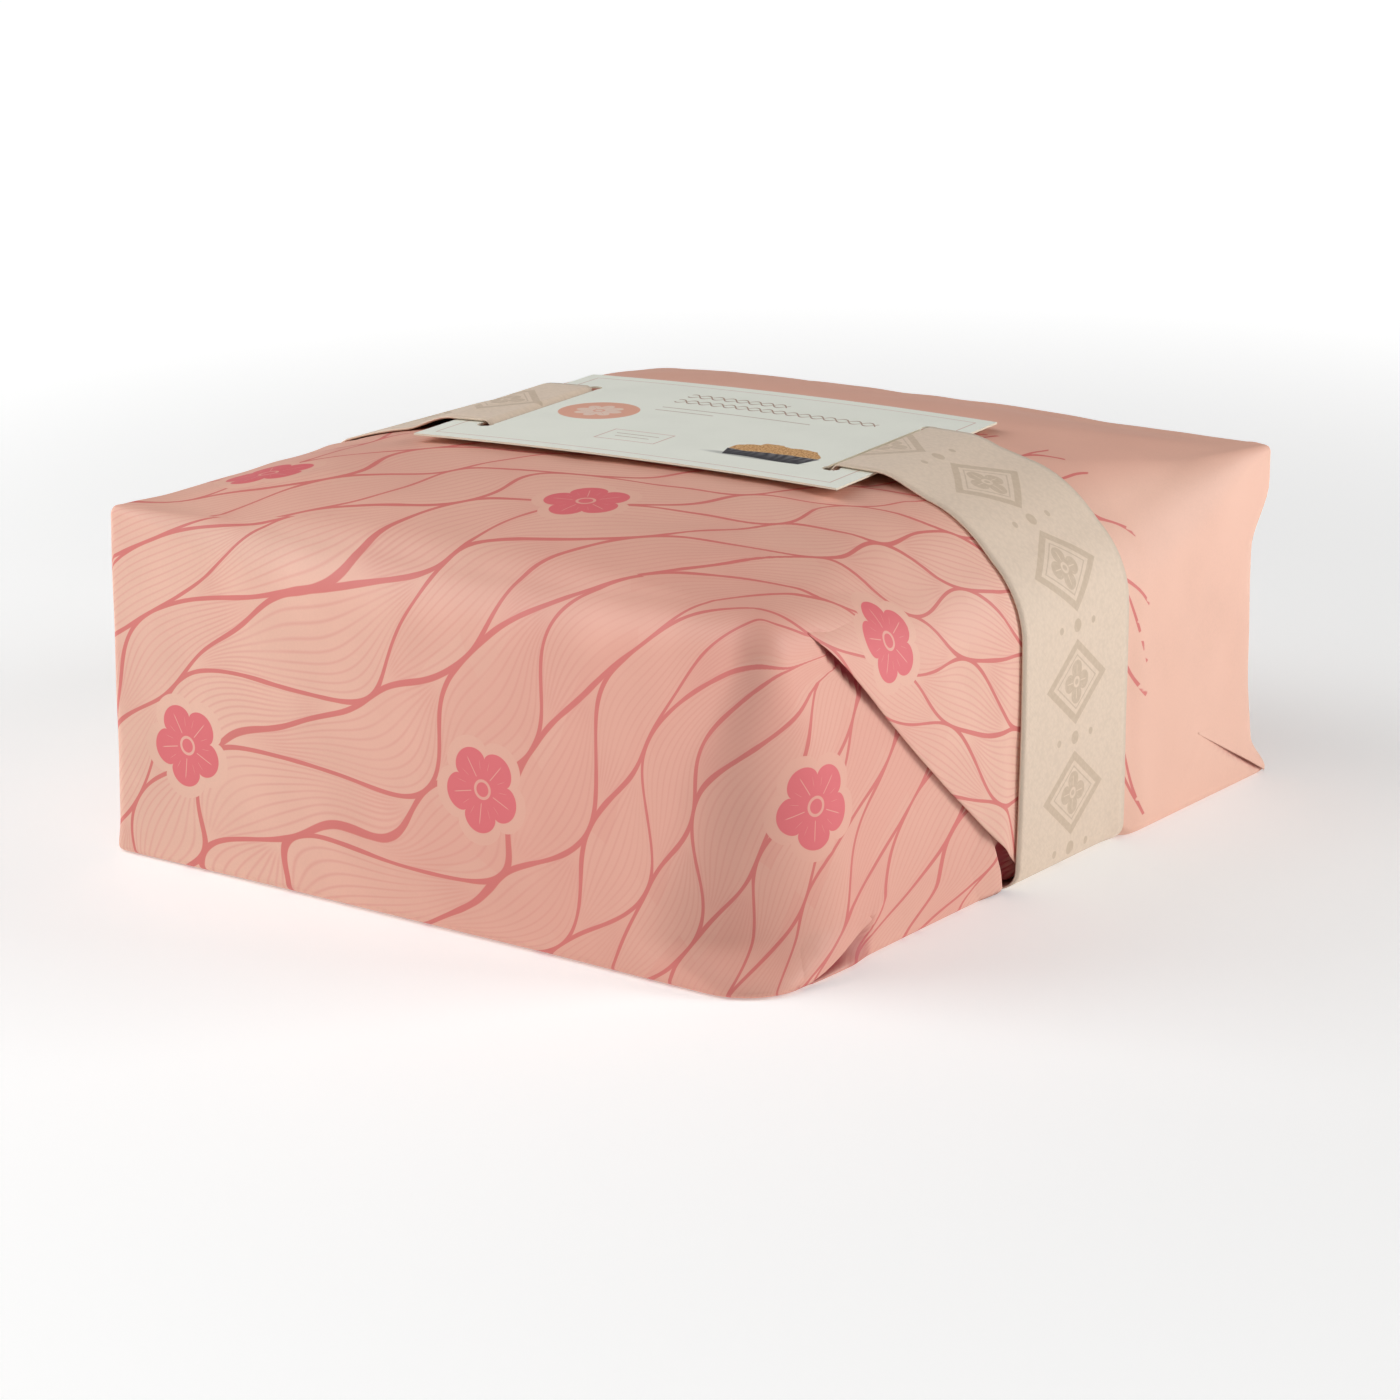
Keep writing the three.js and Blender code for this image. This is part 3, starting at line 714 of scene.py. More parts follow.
def skin_rings():
    """The rings of the paper skin, from the middle of the underside to the middle of the top."""
    rings = []
    high, low = top_round(PLACE), bottom_round(PLACE)
    plan = outline_point(PLACE, low * 0, 0)
    on_end = IS_END * (1 - smooth((from_ribbon(*plan) - RIBBON_WIDTH / 2 - 1) / 3))
    low = low + (RIBBON_BOTTOM_ROUND - low) * on_end
    wall = high * QUARTER + EDGE_HEIGHT - high
    for i in range(1, UNDER_RINGS):
        plan = outline_point(PLACE, low, 0) * (i / UNDER_RINGS)
        add_ring(rings, plan, low * 0, low * 0, wall)
    for i in range(FOOT_RINGS + 1):
        turn = QUARTER * i / FOOT_RINGS
        z = low * (1 - math.cos(turn))
        add_ring(rings, outline_point(PLACE, low * (1 - math.sin(turn)), z), z, z, wall - z)
    for i in range(1, WALL_RINGS):
        z = low + (EDGE_HEIGHT - high - low) * (i / WALL_RINGS) ** WALL_GATHER
        add_ring(rings, outline_point(PLACE, 0 * z, z), z, z, wall - z)
    for i in range(EDGE_RINGS + 1):
        turn = QUARTER * i / EDGE_RINGS
        z = EDGE_HEIGHT - high * (1 - math.sin(turn))
        plan = outline_point(PLACE, high * (1 - math.cos(turn)), z)
        add_ring(rings, plan, z, EDGE_HEIGHT - high + high * turn, high * (QUARTER - turn))
    edge = outline_point(PLACE, high, EDGE_HEIGHT)
    for i in range(1, TOP_RINGS):
        add_ring(rings, edge * (1 - i / TOP_RINGS), 0 * high + EDGE_HEIGHT, 0 * high)
    return [np.array(column) for column in zip(*rings)]


print("each ring has", PLACES, "points")

# %% [markdown]
# Three helpers serve the skin and every later piece: the normals of a grid of points, a mesh object
# with its map, and the faces between rings. They could be a grid primitive that is bent into shape,
# but then the rings could not lie closer together at the foot and at the edges.

# %% From points to a mesh
def grid_normals(grid, looped_rows=False, looped_columns=False):
    """Unit normals of a grid of points, columns crossed with rows."""
    def steps(axis, looped):
        if looped:
            return np.roll(grid, -1, axis) - np.roll(grid, 1, axis)
        return np.gradient(grid, axis=axis)

    normals = np.cross(steps(1, looped_columns), steps(0, looped_rows))
    return normals / (np.linalg.norm(normals, axis=-1, keepdims=True) + 1e-12)


def mesh_object(name, points, faces, uv_name=None, uv=None, shade=None):
    """A smooth-shaded mesh object from points in millimetres. uv has one place per face corner."""
    mesh = bpy.data.meshes.new(name)
    mesh.from_pydata((np.asarray(points) * MM).tolist(), [], faces)
    if uv is not None:
        layer = mesh.uv_layers.new(name=uv_name)
        layer.data.foreach_set("uv", np.asarray(uv, np.float32).ravel())
    if shade is not None:
        attribute = mesh.attributes.new("fold_shade", "FLOAT", "POINT")
        attribute.data.foreach_set("value", np.asarray(shade, np.float32).ravel())
    mesh.polygons.foreach_set("use_smooth", np.ones(len(mesh.polygons), bool))
    mesh.update()
    return put(name, mesh)


def ring_faces(ring_count):
    """Quads between rings, with a fan round the point in the middle of each end."""
    column = np.arange(PLACES)
    after = (column + 1) % PLACES
    starts = np.arange(ring_count - 1)[:, None] * PLACES
    quads = np.stack(
        [starts + column, starts + after, starts + PLACES + after, starts + PLACES + column], -1
    ).reshape(-1, 4)
    low = ring_count * PLACES
    last = (ring_count - 1) * PLACES
    under = np.stack([np.full(PLACES, low), after, column], -1)
    over = np.stack([np.full(PLACES, low + 1), last + column, last + after], -1)
    return quads, under, over


print("mesh helpers ready")

# %% [markdown]
# The creases go on the plain rings first, and that skin is kept, because the loose layers are laid
# on it later. Then the hollows are pressed in. The print could follow one map for the whole skin,
# but a wrapped pack shows where one part of its sheet ends on another. So each face takes its place
# on the part of the sheet that it belongs to, and the print breaks off at the folds.

# %% The paper skin
def skin_corners(flat, wrapped, folded, quads):
    """Place on the flat sheet of every quad's corners, by the part of the sheet the quad is on."""
    ring_of = quads[:, 0] // PLACES
    place_of = quads[:, 0] % PLACES
    corner = PLACE.corner[place_of]
    centre = flat[quads].mean(1)
    top_starts = UNDER_RINGS - 1 + FOOT_RINGS + WALL_RINGS + EDGE_RINGS
    end_wall = (corner % 2 == 1) & (PLACE.fraction[place_of] + PLACE.arc[place_of] >= 1)
    flap = end_wall & (behind_flap_edge(centre[:, 1], centre[:, 2]) > SHEET_EDGE)
    back = (corner == 2) | ((corner == 3) & (PLACE.fraction[place_of] == 0))
    blend = np.tile(IS_END, len(wrapped) // PLACES) * smooth((flat[:, 2] - BLEND_FROM) / BLEND_OVER)
    near = wrapped + (folded - wrapped) * blend[:, None]
    from_top = (ring_of >= top_starts) | flap | back
    under = ring_of < UNDER_RINGS - 1
    lapped_over = under & (centre[:, 1] > LAP_AT - LAP_COVERS)
    beneath = np.stack([flat[:, 0], -(flat[:, 1] + HALF_DEPTH)], -1)
    lapped = np.stack([flat[:, 0], 0 * flat[:, 1] + PLAIN_T], -1)
    uv = np.where(from_top[:, None, None], folded[quads], near[quads])
    uv = np.where(under[:, None, None], beneath[quads], uv)
    return np.where(lapped_over[:, None, None], lapped[quads], uv)


def paper_skin():
    """The paper skin with its hollows, and beside it the plain skin that loose layers are laid on."""
    points, wrapped, folded = skin_rings()
    normals = grid_normals(points, looped_columns=True)
    plain = points + normals * relief(points)[..., None]
    folds, tucked, shade = end_recesses(plain)
    points = plain - normals * folds[..., None] - normals * LEVEL * tucked[..., None]
    for grid in (plain, points):
        grid[..., 2] = np.maximum(grid[..., 2], 0)
    quads, under, over = ring_faces(len(points))
    wrapped, folded = wrapped.reshape(-1, 2), folded.reshape(-1, 2)
    flat = points.reshape(-1, 3)
    uv = skin_corners(flat, wrapped, folded, quads)
    middle = [(0, 0, GROOVE_LIFT), (0, 0, points[-1, :, 2].mean())]
    flat = np.concatenate([flat, middle])
    lapped = np.stack([flat[:, 0], 0 * flat[:, 1] + PLAIN_T], -1)
    top = np.stack([flat[:, 0], sheet_t(flat[:, 0], flat[:, 1])], -1)
    uv = np.concatenate([uv.reshape(-1, 2), lapped[under].reshape(-1, 2), top[over].reshape(-1, 2)])
    faces = quads.tolist() + under.tolist() + over.tolist()
    kept = SimpleNamespace(points=plain.reshape(-1, 3), quads=quads, wrapped=wrapped, folded=folded)
    kept.normals = grid_normals(plain, looped_columns=True).reshape(-1, 3)
    kept.blank = lapped[: len(wrapped)]
    shade = np.append(shade.ravel(), [0, 0])
    return mesh_object("paper_wrap", flat, faces, "sheet", uv, shade), kept


paper, SKIN = paper_skin()
print("paper_wrap", len(paper.data.vertices), "points", len(paper.data.polygons), "faces")

# %% [markdown]
# ## The ribbon
#
# The ribbon is a closed band of cloth. It climbs the right end, lies on the card's end, dips through
# a slit and passes under the card's middle. It comes up through the other slit, goes down the left
# end and back under the pack. Its lines are followed side by side over the same form as the paper's.
# It could be a curve with a flat profile, but a curve tilts where the pack's sides lean, and a band
# laid by rule does not.

# %% Route of the ribbon
RIBBON_STRIPS = 20
RIBBON_TOP_FROM = -108.0
RIBBON_TOP_TO = 84.0
RIBBON_TOP_STEP = 2.5
SLIT_STEPS = 8
SEEK_PASSES = 3
WAY_UP = [("wall", 1, 22, True), ("shoulder", 1, 22, True)]
WAY_DOWN = [("shoulder", -1, 16, False), ("wall", -1, 24, False)]
WAY_UNDER = [("foot", -1, 8, False), ("under", -1, 14, False)]
WAY_UNDER += [("under", 1, 14, True), ("foot", 1, 8, True)]


def end_round(side, y):
    """Rounding of the top edge over an end, at depth y."""
    fraction = np.clip((y + HALF_DEPTH) / (2 * HALF_DEPTH), 0, 1)
    corner = np.full(np.shape(y), 1 if side > 0 else 3)
    return top_round(SimpleNamespace(corner=corner, fraction=fraction if side > 0 else 1 - fraction))


def section_point(stretch, side, t, y):
    """Points of the ribbon's lines on the form, t of the way up or out along a stretch."""
    edge = end_round(side, y)
    wall_top = EDGE_HEIGHT - edge
    wall_low = RIBBON_SEAT + RIBBON_FOOT
    turn = QUARTER * t
    if stretch == "wall":
        x, z = HALF_LENGTH, wall_low + (wall_top - wall_low) * t
    elif stretch == "shoulder":
        x, z = HALF_LENGTH - edge * (1 - math.cos(turn)), EDGE_HEIGHT - edge * (1 - math.sin(turn))
    elif stretch == "foot":
        x, z = HALF_LENGTH - RIBBON_FOOT * (1 - math.sin(turn)), wall_low - RIBBON_FOOT * math.cos(turn)
    else:
        x, z = (HALF_LENGTH - RIBBON_FOOT) * t, RIBBON_SEAT
    return shaped(side * x + 0 * y, y, z, 1.0)


def rows_over(way, across):
    """Rows of points along the stretches of a way, with how often each stretch is stepped.

    Where a line of the ribbon lies depends on x, and x on where it lies, so a few passes seek both.
    """
    rows = []
    for stretch, side, steps, rising in way:
        for i in range(steps):
            t = i / steps if rising else 1 - i / steps
            x = np.full(len(across), side * HALF_LENGTH)
            for _ in range(SEEK_PASSES):
                row = section_point(stretch, side, t, ribbon_depth(x, across))
                x = row[:, 0]
            rows.append(row)
    return rows


def card_underside(along):
    """Height of the bowed card's underside, along from its middle."""
    return CARD_LOW - CARD_BOW * (2 * along / CARD_LENGTH) ** 2


def lift_over_card(points):
    """Height gained where the ribbon comes up through a slit and lies on the card's end."""
    away_x, away_y = points[:, 0] - CARD_X, points[:, 1] - CARD_Y
    along = away_x * math.cos(TURN) + away_y * math.sin(TURN)
    reach = np.abs(along)
    up = smooth((reach - SLIT_OFFSET) / SLIT_CLIMB + 0.5)
    down = 1 - smooth((reach - CARD_LENGTH / 2 - RIBBON_OVERHANG) / RIBBON_SETTLE)
    resting = card_underside(along) + CARD_THICKNESS + CARD_GAP - RIBBON_LIFT
    return up * down * np.maximum(0, resting - points[:, 2])


def rows_over_top(across):
    """Rows of points over the top, closer together where the ribbon climbs through a slit."""
    plain = np.arange(RIBBON_TOP_FROM, RIBBON_TOP_TO + 1, RIBBON_TOP_STEP)
    plain = plain[np.abs(np.abs(plain) - SLIT_OFFSET) > SLIT_CLIMB]
    climb = SLIT_CLIMB * np.arange(-SLIT_STEPS, SLIT_STEPS + 1) / (2 * SLIT_STEPS)
    stops = np.sort(np.concatenate([plain, SLIT_OFFSET + climb, -SLIT_OFFSET + climb]))[::-1]
    rows = []
    for along in stops:
        row = shaped(*card_place(along, across), EDGE_HEIGHT, 1.0)
        row[:, 2] += lift_over_card(row)
        rows.append(row)
    return rows


def ribbon_rows():
    """All rows of the band, once round the pack, and the places of their points across it."""
    across = np.linspace(-RIBBON_WIDTH / 2, RIBBON_WIDTH / 2, RIBBON_STRIPS + 1)
    rows = rows_over(WAY_UP, across) + rows_over_top(across)
    return np.array(rows + rows_over(WAY_DOWN, across) + rows_over(WAY_UNDER, across)), across


RIBBON_ROWS, RIBBON_ACROSS = ribbon_rows()
RIBBON_NORMALS = grid_normals(RIBBON_ROWS, looped_rows=True)
print("ribbon rows", len(RIBBON_ROWS))

# %% [markdown]
# The real band is one strip of cloth, and its join doesn't show. Two offsets of its rows give it its
# thickness, and rims close its edges. A Solidify modifier could thicken it as well, but the rule
# below serves the loose sheets of paper too, and it keeps every face's place on the cloth, so that
# the ornament meets itself where the band closes.

# %% The ribbon's band
def slab_faces(rows, columns, looped):
    """Faces of a closed slab between an inner and an outer grid."""
    outer = np.arange(rows * columns).reshape(rows, columns) + rows * columns
    inner = outer - rows * columns
    after = np.roll(np.arange(rows), -1) if looped else np.arange(1, rows)
    here = np.arange(len(after))

    def quads(a, b, c, d):
        return np.stack([a, b, c, d], -1).reshape(-1, 4)

    parts = [
        quads(outer[here, :-1], outer[here, 1:], outer[after, 1:], outer[after, :-1]),
        quads(inner[here, :-1], inner[after, :-1], inner[after, 1:], inner[here, 1:]),
        quads(inner[here, 0], outer[here, 0], outer[after, 0], inner[after, 0]),
        quads(inner[here, -1], inner[after, -1], outer[after, -1], outer[here, -1]),
    ]
    if not looped:
        parts.append(quads(inner[0, :-1], inner[0, 1:], outer[0, 1:], outer[0, :-1]))
        parts.append(quads(inner[-1, :-1], outer[-1, :-1], outer[-1, 1:], inner[-1, 1:]))
    return np.concatenate(parts)


def slab_object(name, inner, outer, uv_name, uv, looped=False, shade=None):
    """A closed slab from two grids. uv is a place for each point, or a function of the faces."""
    rows, columns = inner.shape[:2]
    faces = slab_faces(rows, columns, looped)
    corners = uv(faces) if callable(uv) else np.concatenate([uv, uv]).reshape(-1, 2)[faces]
    points = np.concatenate([inner.reshape(-1, 3), outer.reshape(-1, 3)])
    return mesh_object(name, points, faces.tolist(), uv_name, corners, shade)


def cloth_places(faces):
    """Length along the ribbon and place across it for every face corner, in millimetres.

    The length is stretched a trifle, so that a whole number of ornaments goes round the pack and
    the pattern meets itself where the band closes.
    """
    rows, columns = RIBBON_ROWS.shape[:2]
    middle = RIBBON_ROWS[:, columns // 2]
    steps = np.linalg.norm(np.roll(middle, -1, 0) - middle, axis=1)
    along = np.concatenate([[0], np.cumsum(steps)])
    along = along * (round(along[-1] / ORNAMENT_PITCH) * ORNAMENT_PITCH / along[-1])
    row = faces % (rows * columns) // columns
    closes = (row.max(1) == rows - 1) & (row.min(1) == 0)
    row = np.where(closes[:, None] & (row == 0), rows, row)
    return np.stack([along[row], RIBBON_ACROSS[faces % columns]], -1)


def ribbon_band():
    """The band, lifted a little off the paper so that the two never touch."""
    inner = RIBBON_ROWS + RIBBON_NORMALS * RIBBON_LIFT
    outer = RIBBON_ROWS + RIBBON_NORMALS * (RIBBON_LIFT + RIBBON_THICKNESS)
    return slab_object("ribbon_band", inner, outer, "cloth", cloth_places, looped=True)


ribbon = ribbon_band()
print("ribbon_band", len(ribbon.data.polygons), "faces")

# %% [markdown]
# ## Folded layers
#
# Where one layer of paper ends on top of another, its free edge stands a little proud and throws a
# fine shadow. Those layers are thin sheets of their own, laid on the skin: the flap that comes down
# over each end, the sheet that ends beneath it, the tuck at each near corner, the lap at each far
# corner and the layers underneath. A Shrinkwrap modifier could lay them, but then the edge could not
# gape. Here each point is shot at the plain skin, takes its place on the flat sheet from the face
# that it hits, and is lifted by a rule of its own.

# %% Laying a sheet on the skin
SHEET_THICKNESS = 0.22
SHOT_FROM = 25.0
SHOT_LONGEST = 60.0
GRAZING = 0.1
EDGE_GATHER = 1.4
STEEPEST_SHOT = 0.98
SIDE_NAMES = {1: "_right", -1: "_left", 0: ""}
SHEET_GRIDS = {
    "end_flap": (90, 18), "front_fold": (24, 14), "corner_tuck": (44, 14),
    "far_lap": (32, 12), "under_lap": (60, 8), "under_end": (46, 14),
}
TRIANGLES = np.concatenate([SKIN.quads[:, [0, 1, 2]], SKIN.quads[:, [0, 2, 3]]])
TREE = BVHTree.FromPolygons(SKIN.points.tolist(), TRIANGLES.tolist())


def lay(origin, towards, sheet):
    """Where a shot meets the skin: the point, the smooth normal and the place on the flat sheet.

    A shot that passes under the pack's foot, or only grazes it, takes the nearest place instead.
    """
    hit, facing, index, _ = TREE.ray_cast(Vector(origin), Vector(towards), SHOT_LONGEST)
    if hit is None or abs(facing.dot(Vector(towards))) < GRAZING:
        hit, _, index, _ = TREE.find_nearest(Vector(origin))
    corners = TRIANGLES[index]
    weights = np.array(poly_3d_calc([Vector(p) for p in SKIN.points[corners]], hit))
    normal = weights @ SKIN.normals[corners]
    return np.array(hit), normal / np.linalg.norm(normal), weights @ sheet[corners]


def laid_sheet(kind, side, shot, stand, sheet):
    """A thin sheet of paper on the skin.

    t runs along its edge and v inwards from it. shot says how a point is shot at the skin, and stand
    how high the sheet stands off it there. Shade is painted on the inner face, where paper faces paper.
    """
    rows, columns = SHEET_GRIDS[kind]
    inwards = np.linspace(0, 1, columns) ** EDGE_GATHER
    places = [[(t, v) for v in inwards] for t in np.linspace(0, 1, rows)]
    laid = [[lay(*shot(t, v), sheet) for t, v in row] for row in places]
    points, normals, uv = (np.array([[place[i] for place in row] for row in laid]) for i in range(3))
    stands = np.array([[stand(t, v) for t, v in row] for row in places])
    outer = points + normals * stands[..., None]
    if (grid_normals(outer) * normals).sum() < 0:
        outer, normals, uv = outer[:, ::-1], normals[:, ::-1], uv[:, ::-1]
    inner = outer - normals * SHEET_THICKNESS
    for grid in (inner, outer):
        grid[..., 2] = np.maximum(grid[..., 2], 0)
    # Full painted shade on the inner face, none on the outer, so the rim shades from one to the other.
    shade = np.concatenate([np.ones(outer[..., 0].size), np.zeros(outer[..., 0].size)])
    return slab_object(kind + SIDE_NAMES[side], inner, outer, "sheet", uv, shade=shade)


def end_shot(side, y, z):
    """A shot at an end wall from outside, square to the plain form."""
    edge = end_round(side, y)
    over = float(np.clip((z - (EDGE_HEIGHT - edge)) / edge, 0, STEEPEST_SHOT))
    level = math.sqrt(1 - over**2)
    x = HALF_LENGTH - edge * (1 - level)
    return (side * (x + SHOT_FROM * level), y, z + SHOT_FROM * over), (-side * level, 0, -over)


def beside_edge(start, end):
    """The edge from start to end as a vector, and the unit vector to its left."""
    edge = end - start
    return edge, np.array([-edge[1], edge[0]]) / np.linalg.norm(edge)


print("skin triangles to lay on", len(TRIANGLES))

# %% [markdown]
# On each end the top sheet comes down as a slanted flap. In front of the ribbon its free edge stands
# open, and a tip of the front sheet shows beneath it. Both could be one folded strip, but they are
# two sheets here, because each keeps its own place on the flat print. The photograph shows only the
# right end, so the left end mirrors it.

# %% The end flaps and the sheets beneath them
FLAP_FROM = np.array([-116.8, 102.2])
FLAP_TO = np.array([-8.0, 5.4])
FLAP_BOW = 1.7
FRONT_FOLD_FROM = np.array([-29.0, 27.5])
FRONT_FOLD_TO = np.array([-17.0, 0.4])
FRONT_FOLD_REACH = 17.0


def end_flap(side):
    """The top sheet's flap over one end, from its slanted free edge to where it has settled."""
    edge, away = beside_edge(FLAP_FROM, FLAP_TO)

    def place(t, v):
        reach = FLAP_SETTLE * smooth(t / 0.35 + 0.1)
        return FLAP_FROM + edge * t + away * (v * reach - FLAP_BOW * math.sin(math.pi * t))

    def shot(t, v):
        y, z = place(t, v)
        return end_shot(side, y, min(z, EDGE_HEIGHT - 2))

    def stand(t, v):
        y, z = place(t, v)
        cover = smooth(behind_flap_edge(y, z) / FLAP_SETTLE)
        free = smooth((ribbon_depth(side * HALF_LENGTH, -RIBBON_WIDTH / 2) - y) / 10)
        gape = 0.8 * np.exp(-(((t - 0.16) / 0.1) ** 2)) + 0.15 + 0.8 * smooth((t - 0.6) / 0.3)
        proud = FLAP_PROUD * (1 - cover) * (1 - smooth(v)) * smooth(t / 0.1)
        return proud + gape * free * (1 - v) ** 2 * smooth(t / 0.06) + 0.1 - 0.5 * v**2

    return laid_sheet("end_flap", side, shot, stand, SKIN.folded)


def front_fold(side):
    """The front sheet's flap, which ends beneath the top sheet's one beside the ribbon."""
    edge, away = beside_edge(FRONT_FOLD_TO, FRONT_FOLD_FROM)

    def shot(t, v):
        y, z = FRONT_FOLD_FROM - edge * t + away * (v * FRONT_FOLD_REACH)
        return end_shot(side, y, max(z, 0.3))

    def stand(t, v):
        return 0.3 + 0.35 * (1 - v) ** 2 - 0.7 * v**2 - 1.1 * (1 - smooth(t / 0.3))

    return laid_sheet("front_fold", side, shot, stand, SKIN.wrapped)


flaps = [make(side) for make in (end_flap, front_fold) for side in (1, -1)]
print("flaps", [flap.name for flap in flaps])

# %% [markdown]
# At the foot of each near corner the front sheet is tucked in under a slanting edge, and a fold runs
# down to the floor at each far corner. The hollows beside them, with the shade painted in them, are
# already in the skin. A sheet laid over each hollow's upper rim gives it the thin bright lip that real
# paper has there.

# %% The corner tucks and the far laps
TUCK_REACH = 17.0
LAP_FROM = np.array([93.5, 23.6])
LAP_TO = np.array([137.5, 0.8])
LAP_REACH = 15.0


def corner_tuck(side):
    """The front sheet's fold at the foot of a near corner, from its fold point to the floor."""
    def shot(t, v):
        turn = TUCK_TURN - TUCK_SPAN * t
        way = np.array([side * math.cos(turn), math.sin(turn)])
        x, y = np.array([side * TUCK_CENTRE[0], TUCK_CENTRE[1]]) + way * 80
        return (x, y, tuck_edge(t) + TUCK_REACH * v * smooth(t / 0.4 + 0.15)), (-way[0], -way[1], 0)

    def stand(t, v):
        lift = 0.9 * smooth(t * 1.5) * (1 - smooth((t - 0.7) / 0.3)) * (1 - v) ** 2
        sink = 0.4 * smooth((t - 0.9) / 0.1) + 0.4 * smooth((0.06 - t) / 0.06)
        return lift + 0.12 - sink - 0.5 * v**2

    return laid_sheet("corner_tuck", side, shot, stand, SKIN.wrapped)


def far_lap(side):
    """The fold that runs down to a far corner."""
    edge, away = beside_edge(LAP_FROM, LAP_TO)

    def shot(t, v):
        y, z = LAP_FROM + edge * t + away * (v * LAP_REACH * smooth(t / 0.5 + 0.15))
        return (side * (HALF_LENGTH + SHOT_FROM), min(y, HALF_DEPTH - 0.5), z), (-side, 0, 0)

    def stand(t, v):
        return 0.4 * smooth(t * 1.2) * (1 - v) ** 2 + 0.1 - 0.5 * v**2

    return laid_sheet("far_lap", side, shot, stand, SKIN.folded)


tucks = [make(side) for make in (corner_tuck, far_lap) for side in (1, -1)]
print("tucks and laps", [tuck.name for tuck in tucks])

# %% [markdown]
# The underside doesn't show in the photograph. A sheet that is wrapped like this one laps along a
# seam, and its two ends are folded under and held by the ribbon, so that is what is laid here. The
# sheets are shot upwards at the skin, and no point of them goes below the floor.

# %% The layers underneath
UNDER_LAP_HALF = 112.0
UNDER_LAP_REACH = 12.0
UNDER_END_OUTLINE = [(116, -72), (72, -46), (72, 58), (116, 92)]
UNDER_END_OUT = 116.0


def shot_up(x, y):
    """A shot at the underside, straight up from below the floor."""
    return (x, y, -SHOT_FROM), (0, 0, 1)


def under_lap():
    """The seam where the sheet's two long edges lap."""
    def shot(t, v):
        return shot_up(UNDER_LAP_HALF * (2 * t - 1), LAP_AT - UNDER_LAP_REACH * v)

    def stand(t, v):
        return 0.14 - 0.4 * v**2 - 0.3 * smooth((abs(2 * t - 1) - 0.96) / 0.04)

    return laid_sheet("under_lap", 0, shot, stand, SKIN.blank)


def under_end(side):
    """The end's own flap, folded under the pack and held there by the ribbon."""
    stops = np.array(UNDER_END_OUTLINE, float)

    def shot(t, v):
        x, y = (np.interp(3 * t, range(4), stops[:, i]) for i in range(2))
        return shot_up(side * (x + (UNDER_END_OUT - x) * v), y)

    def stand(t, v):
        return 0.18 - 0.5 * smooth((v - 0.85) / 0.15) * (1 - 0.2 * t)

    return laid_sheet("under_end", side, shot, stand, SKIN.blank)


underneath = [under_lap(), under_end(1), under_end(-1)]
print("underneath", [layer.name for layer in underneath])

# %% [markdown]
# ## Trees of nodes
#
# The card, the ribbon's edge cords and every finish are made by node trees. A tree written link by
# link is hard to follow, so a few small helpers come first. One adds a node and fills its inputs.
# Signal lets a value that varies over a surface be added and multiplied like a number, which keeps a
# pattern's formula readable.

# %% Helpers for node trees
def feed(tree, socket, value):
    """Wires a node's output to a socket, or sets the socket's own value."""
    if isinstance(value, Signal):
        value = value.socket
    if isinstance(value, bpy.types.NodeSocket):
        tree.links.new(value, socket)
    else:
        socket.default_value = value


def add_node(tree, kind, inputs=None, **settings):
    """A new node with its settings made and its inputs wired or set."""
    node = tree.nodes.new(kind)
    for name, value in settings.items():
        setattr(node, name, value)
    for name, value in (inputs or {}).items():
        feed(tree, node.inputs[name], value)
    return node


def first_out(tree, kind, inputs=None, **settings):
    """The first output of a new node."""
    return add_node(tree, kind, inputs, **settings).outputs[0]


class Signal:
    """A number that varies over a surface. Arithmetic on it adds Math nodes to the tree."""

    def __init__(self, tree, socket):
        self.tree = tree
        self.socket = socket

    def math(self, operation, *others):
        node = add_node(self.tree, "ShaderNodeMath", operation=operation)
        for socket, value in zip(node.inputs, (self, *others)):
            feed(self.tree, socket, value)
        return Signal(self.tree, node.outputs[0])

    def __add__(self, other):
        return self.math("ADD", other)

    def __sub__(self, other):
        return self.math("SUBTRACT", other)

    def __rsub__(self, other):
        return self.math("MULTIPLY_ADD", -1.0, other)

    def __mul__(self, other):
        return self.math("MULTIPLY", other)

    def __truediv__(self, other):
        return self.math("DIVIDE", other)

    __radd__ = __add__
    __rmul__ = __mul__

    def rises(self, low, high):
        """0 below low, 1 above high, smooth between."""
        inputs = {"Value": self, "From Min": low, "From Max": high}
        eased_out = first_out(self.tree, "ShaderNodeMapRange", inputs, interpolation_type="SMOOTHSTEP")
        return Signal(self.tree, eased_out)

    def falls(self, low, high):
        return 1 - self.rises(low, high)

    def line(self, half_width, blur=0.12):
        """1 on a line where this distance is under half_width."""
        return 1 - (self.math("ABSOLUTE") - half_width).rises(-blur, blur)


def split(tree, vector):
    """The x, y and z of a vector as three signals."""
    node = add_node(tree, "ShaderNodeSeparateXYZ", {"Vector": vector})
    return [Signal(tree, node.outputs[axis]) for axis in "XYZ"]


def join(tree, x=0.0, y=0.0, z=0.0):
    return first_out(tree, "ShaderNodeCombineXYZ", {"X": x, "Y": y, "Z": z})


def length_of(x, y):
    """Distance of a place at x and y from the middle."""
    return (x * x + y * y).math("SQRT")


def noise(tree, vector, scale, detail=2.0, roughness=0.5):
    inputs = {"Vector": vector, "Scale": scale, "Detail": detail, "Roughness": roughness}
    return Signal(tree, first_out(tree, "ShaderNodeTexNoise", inputs))


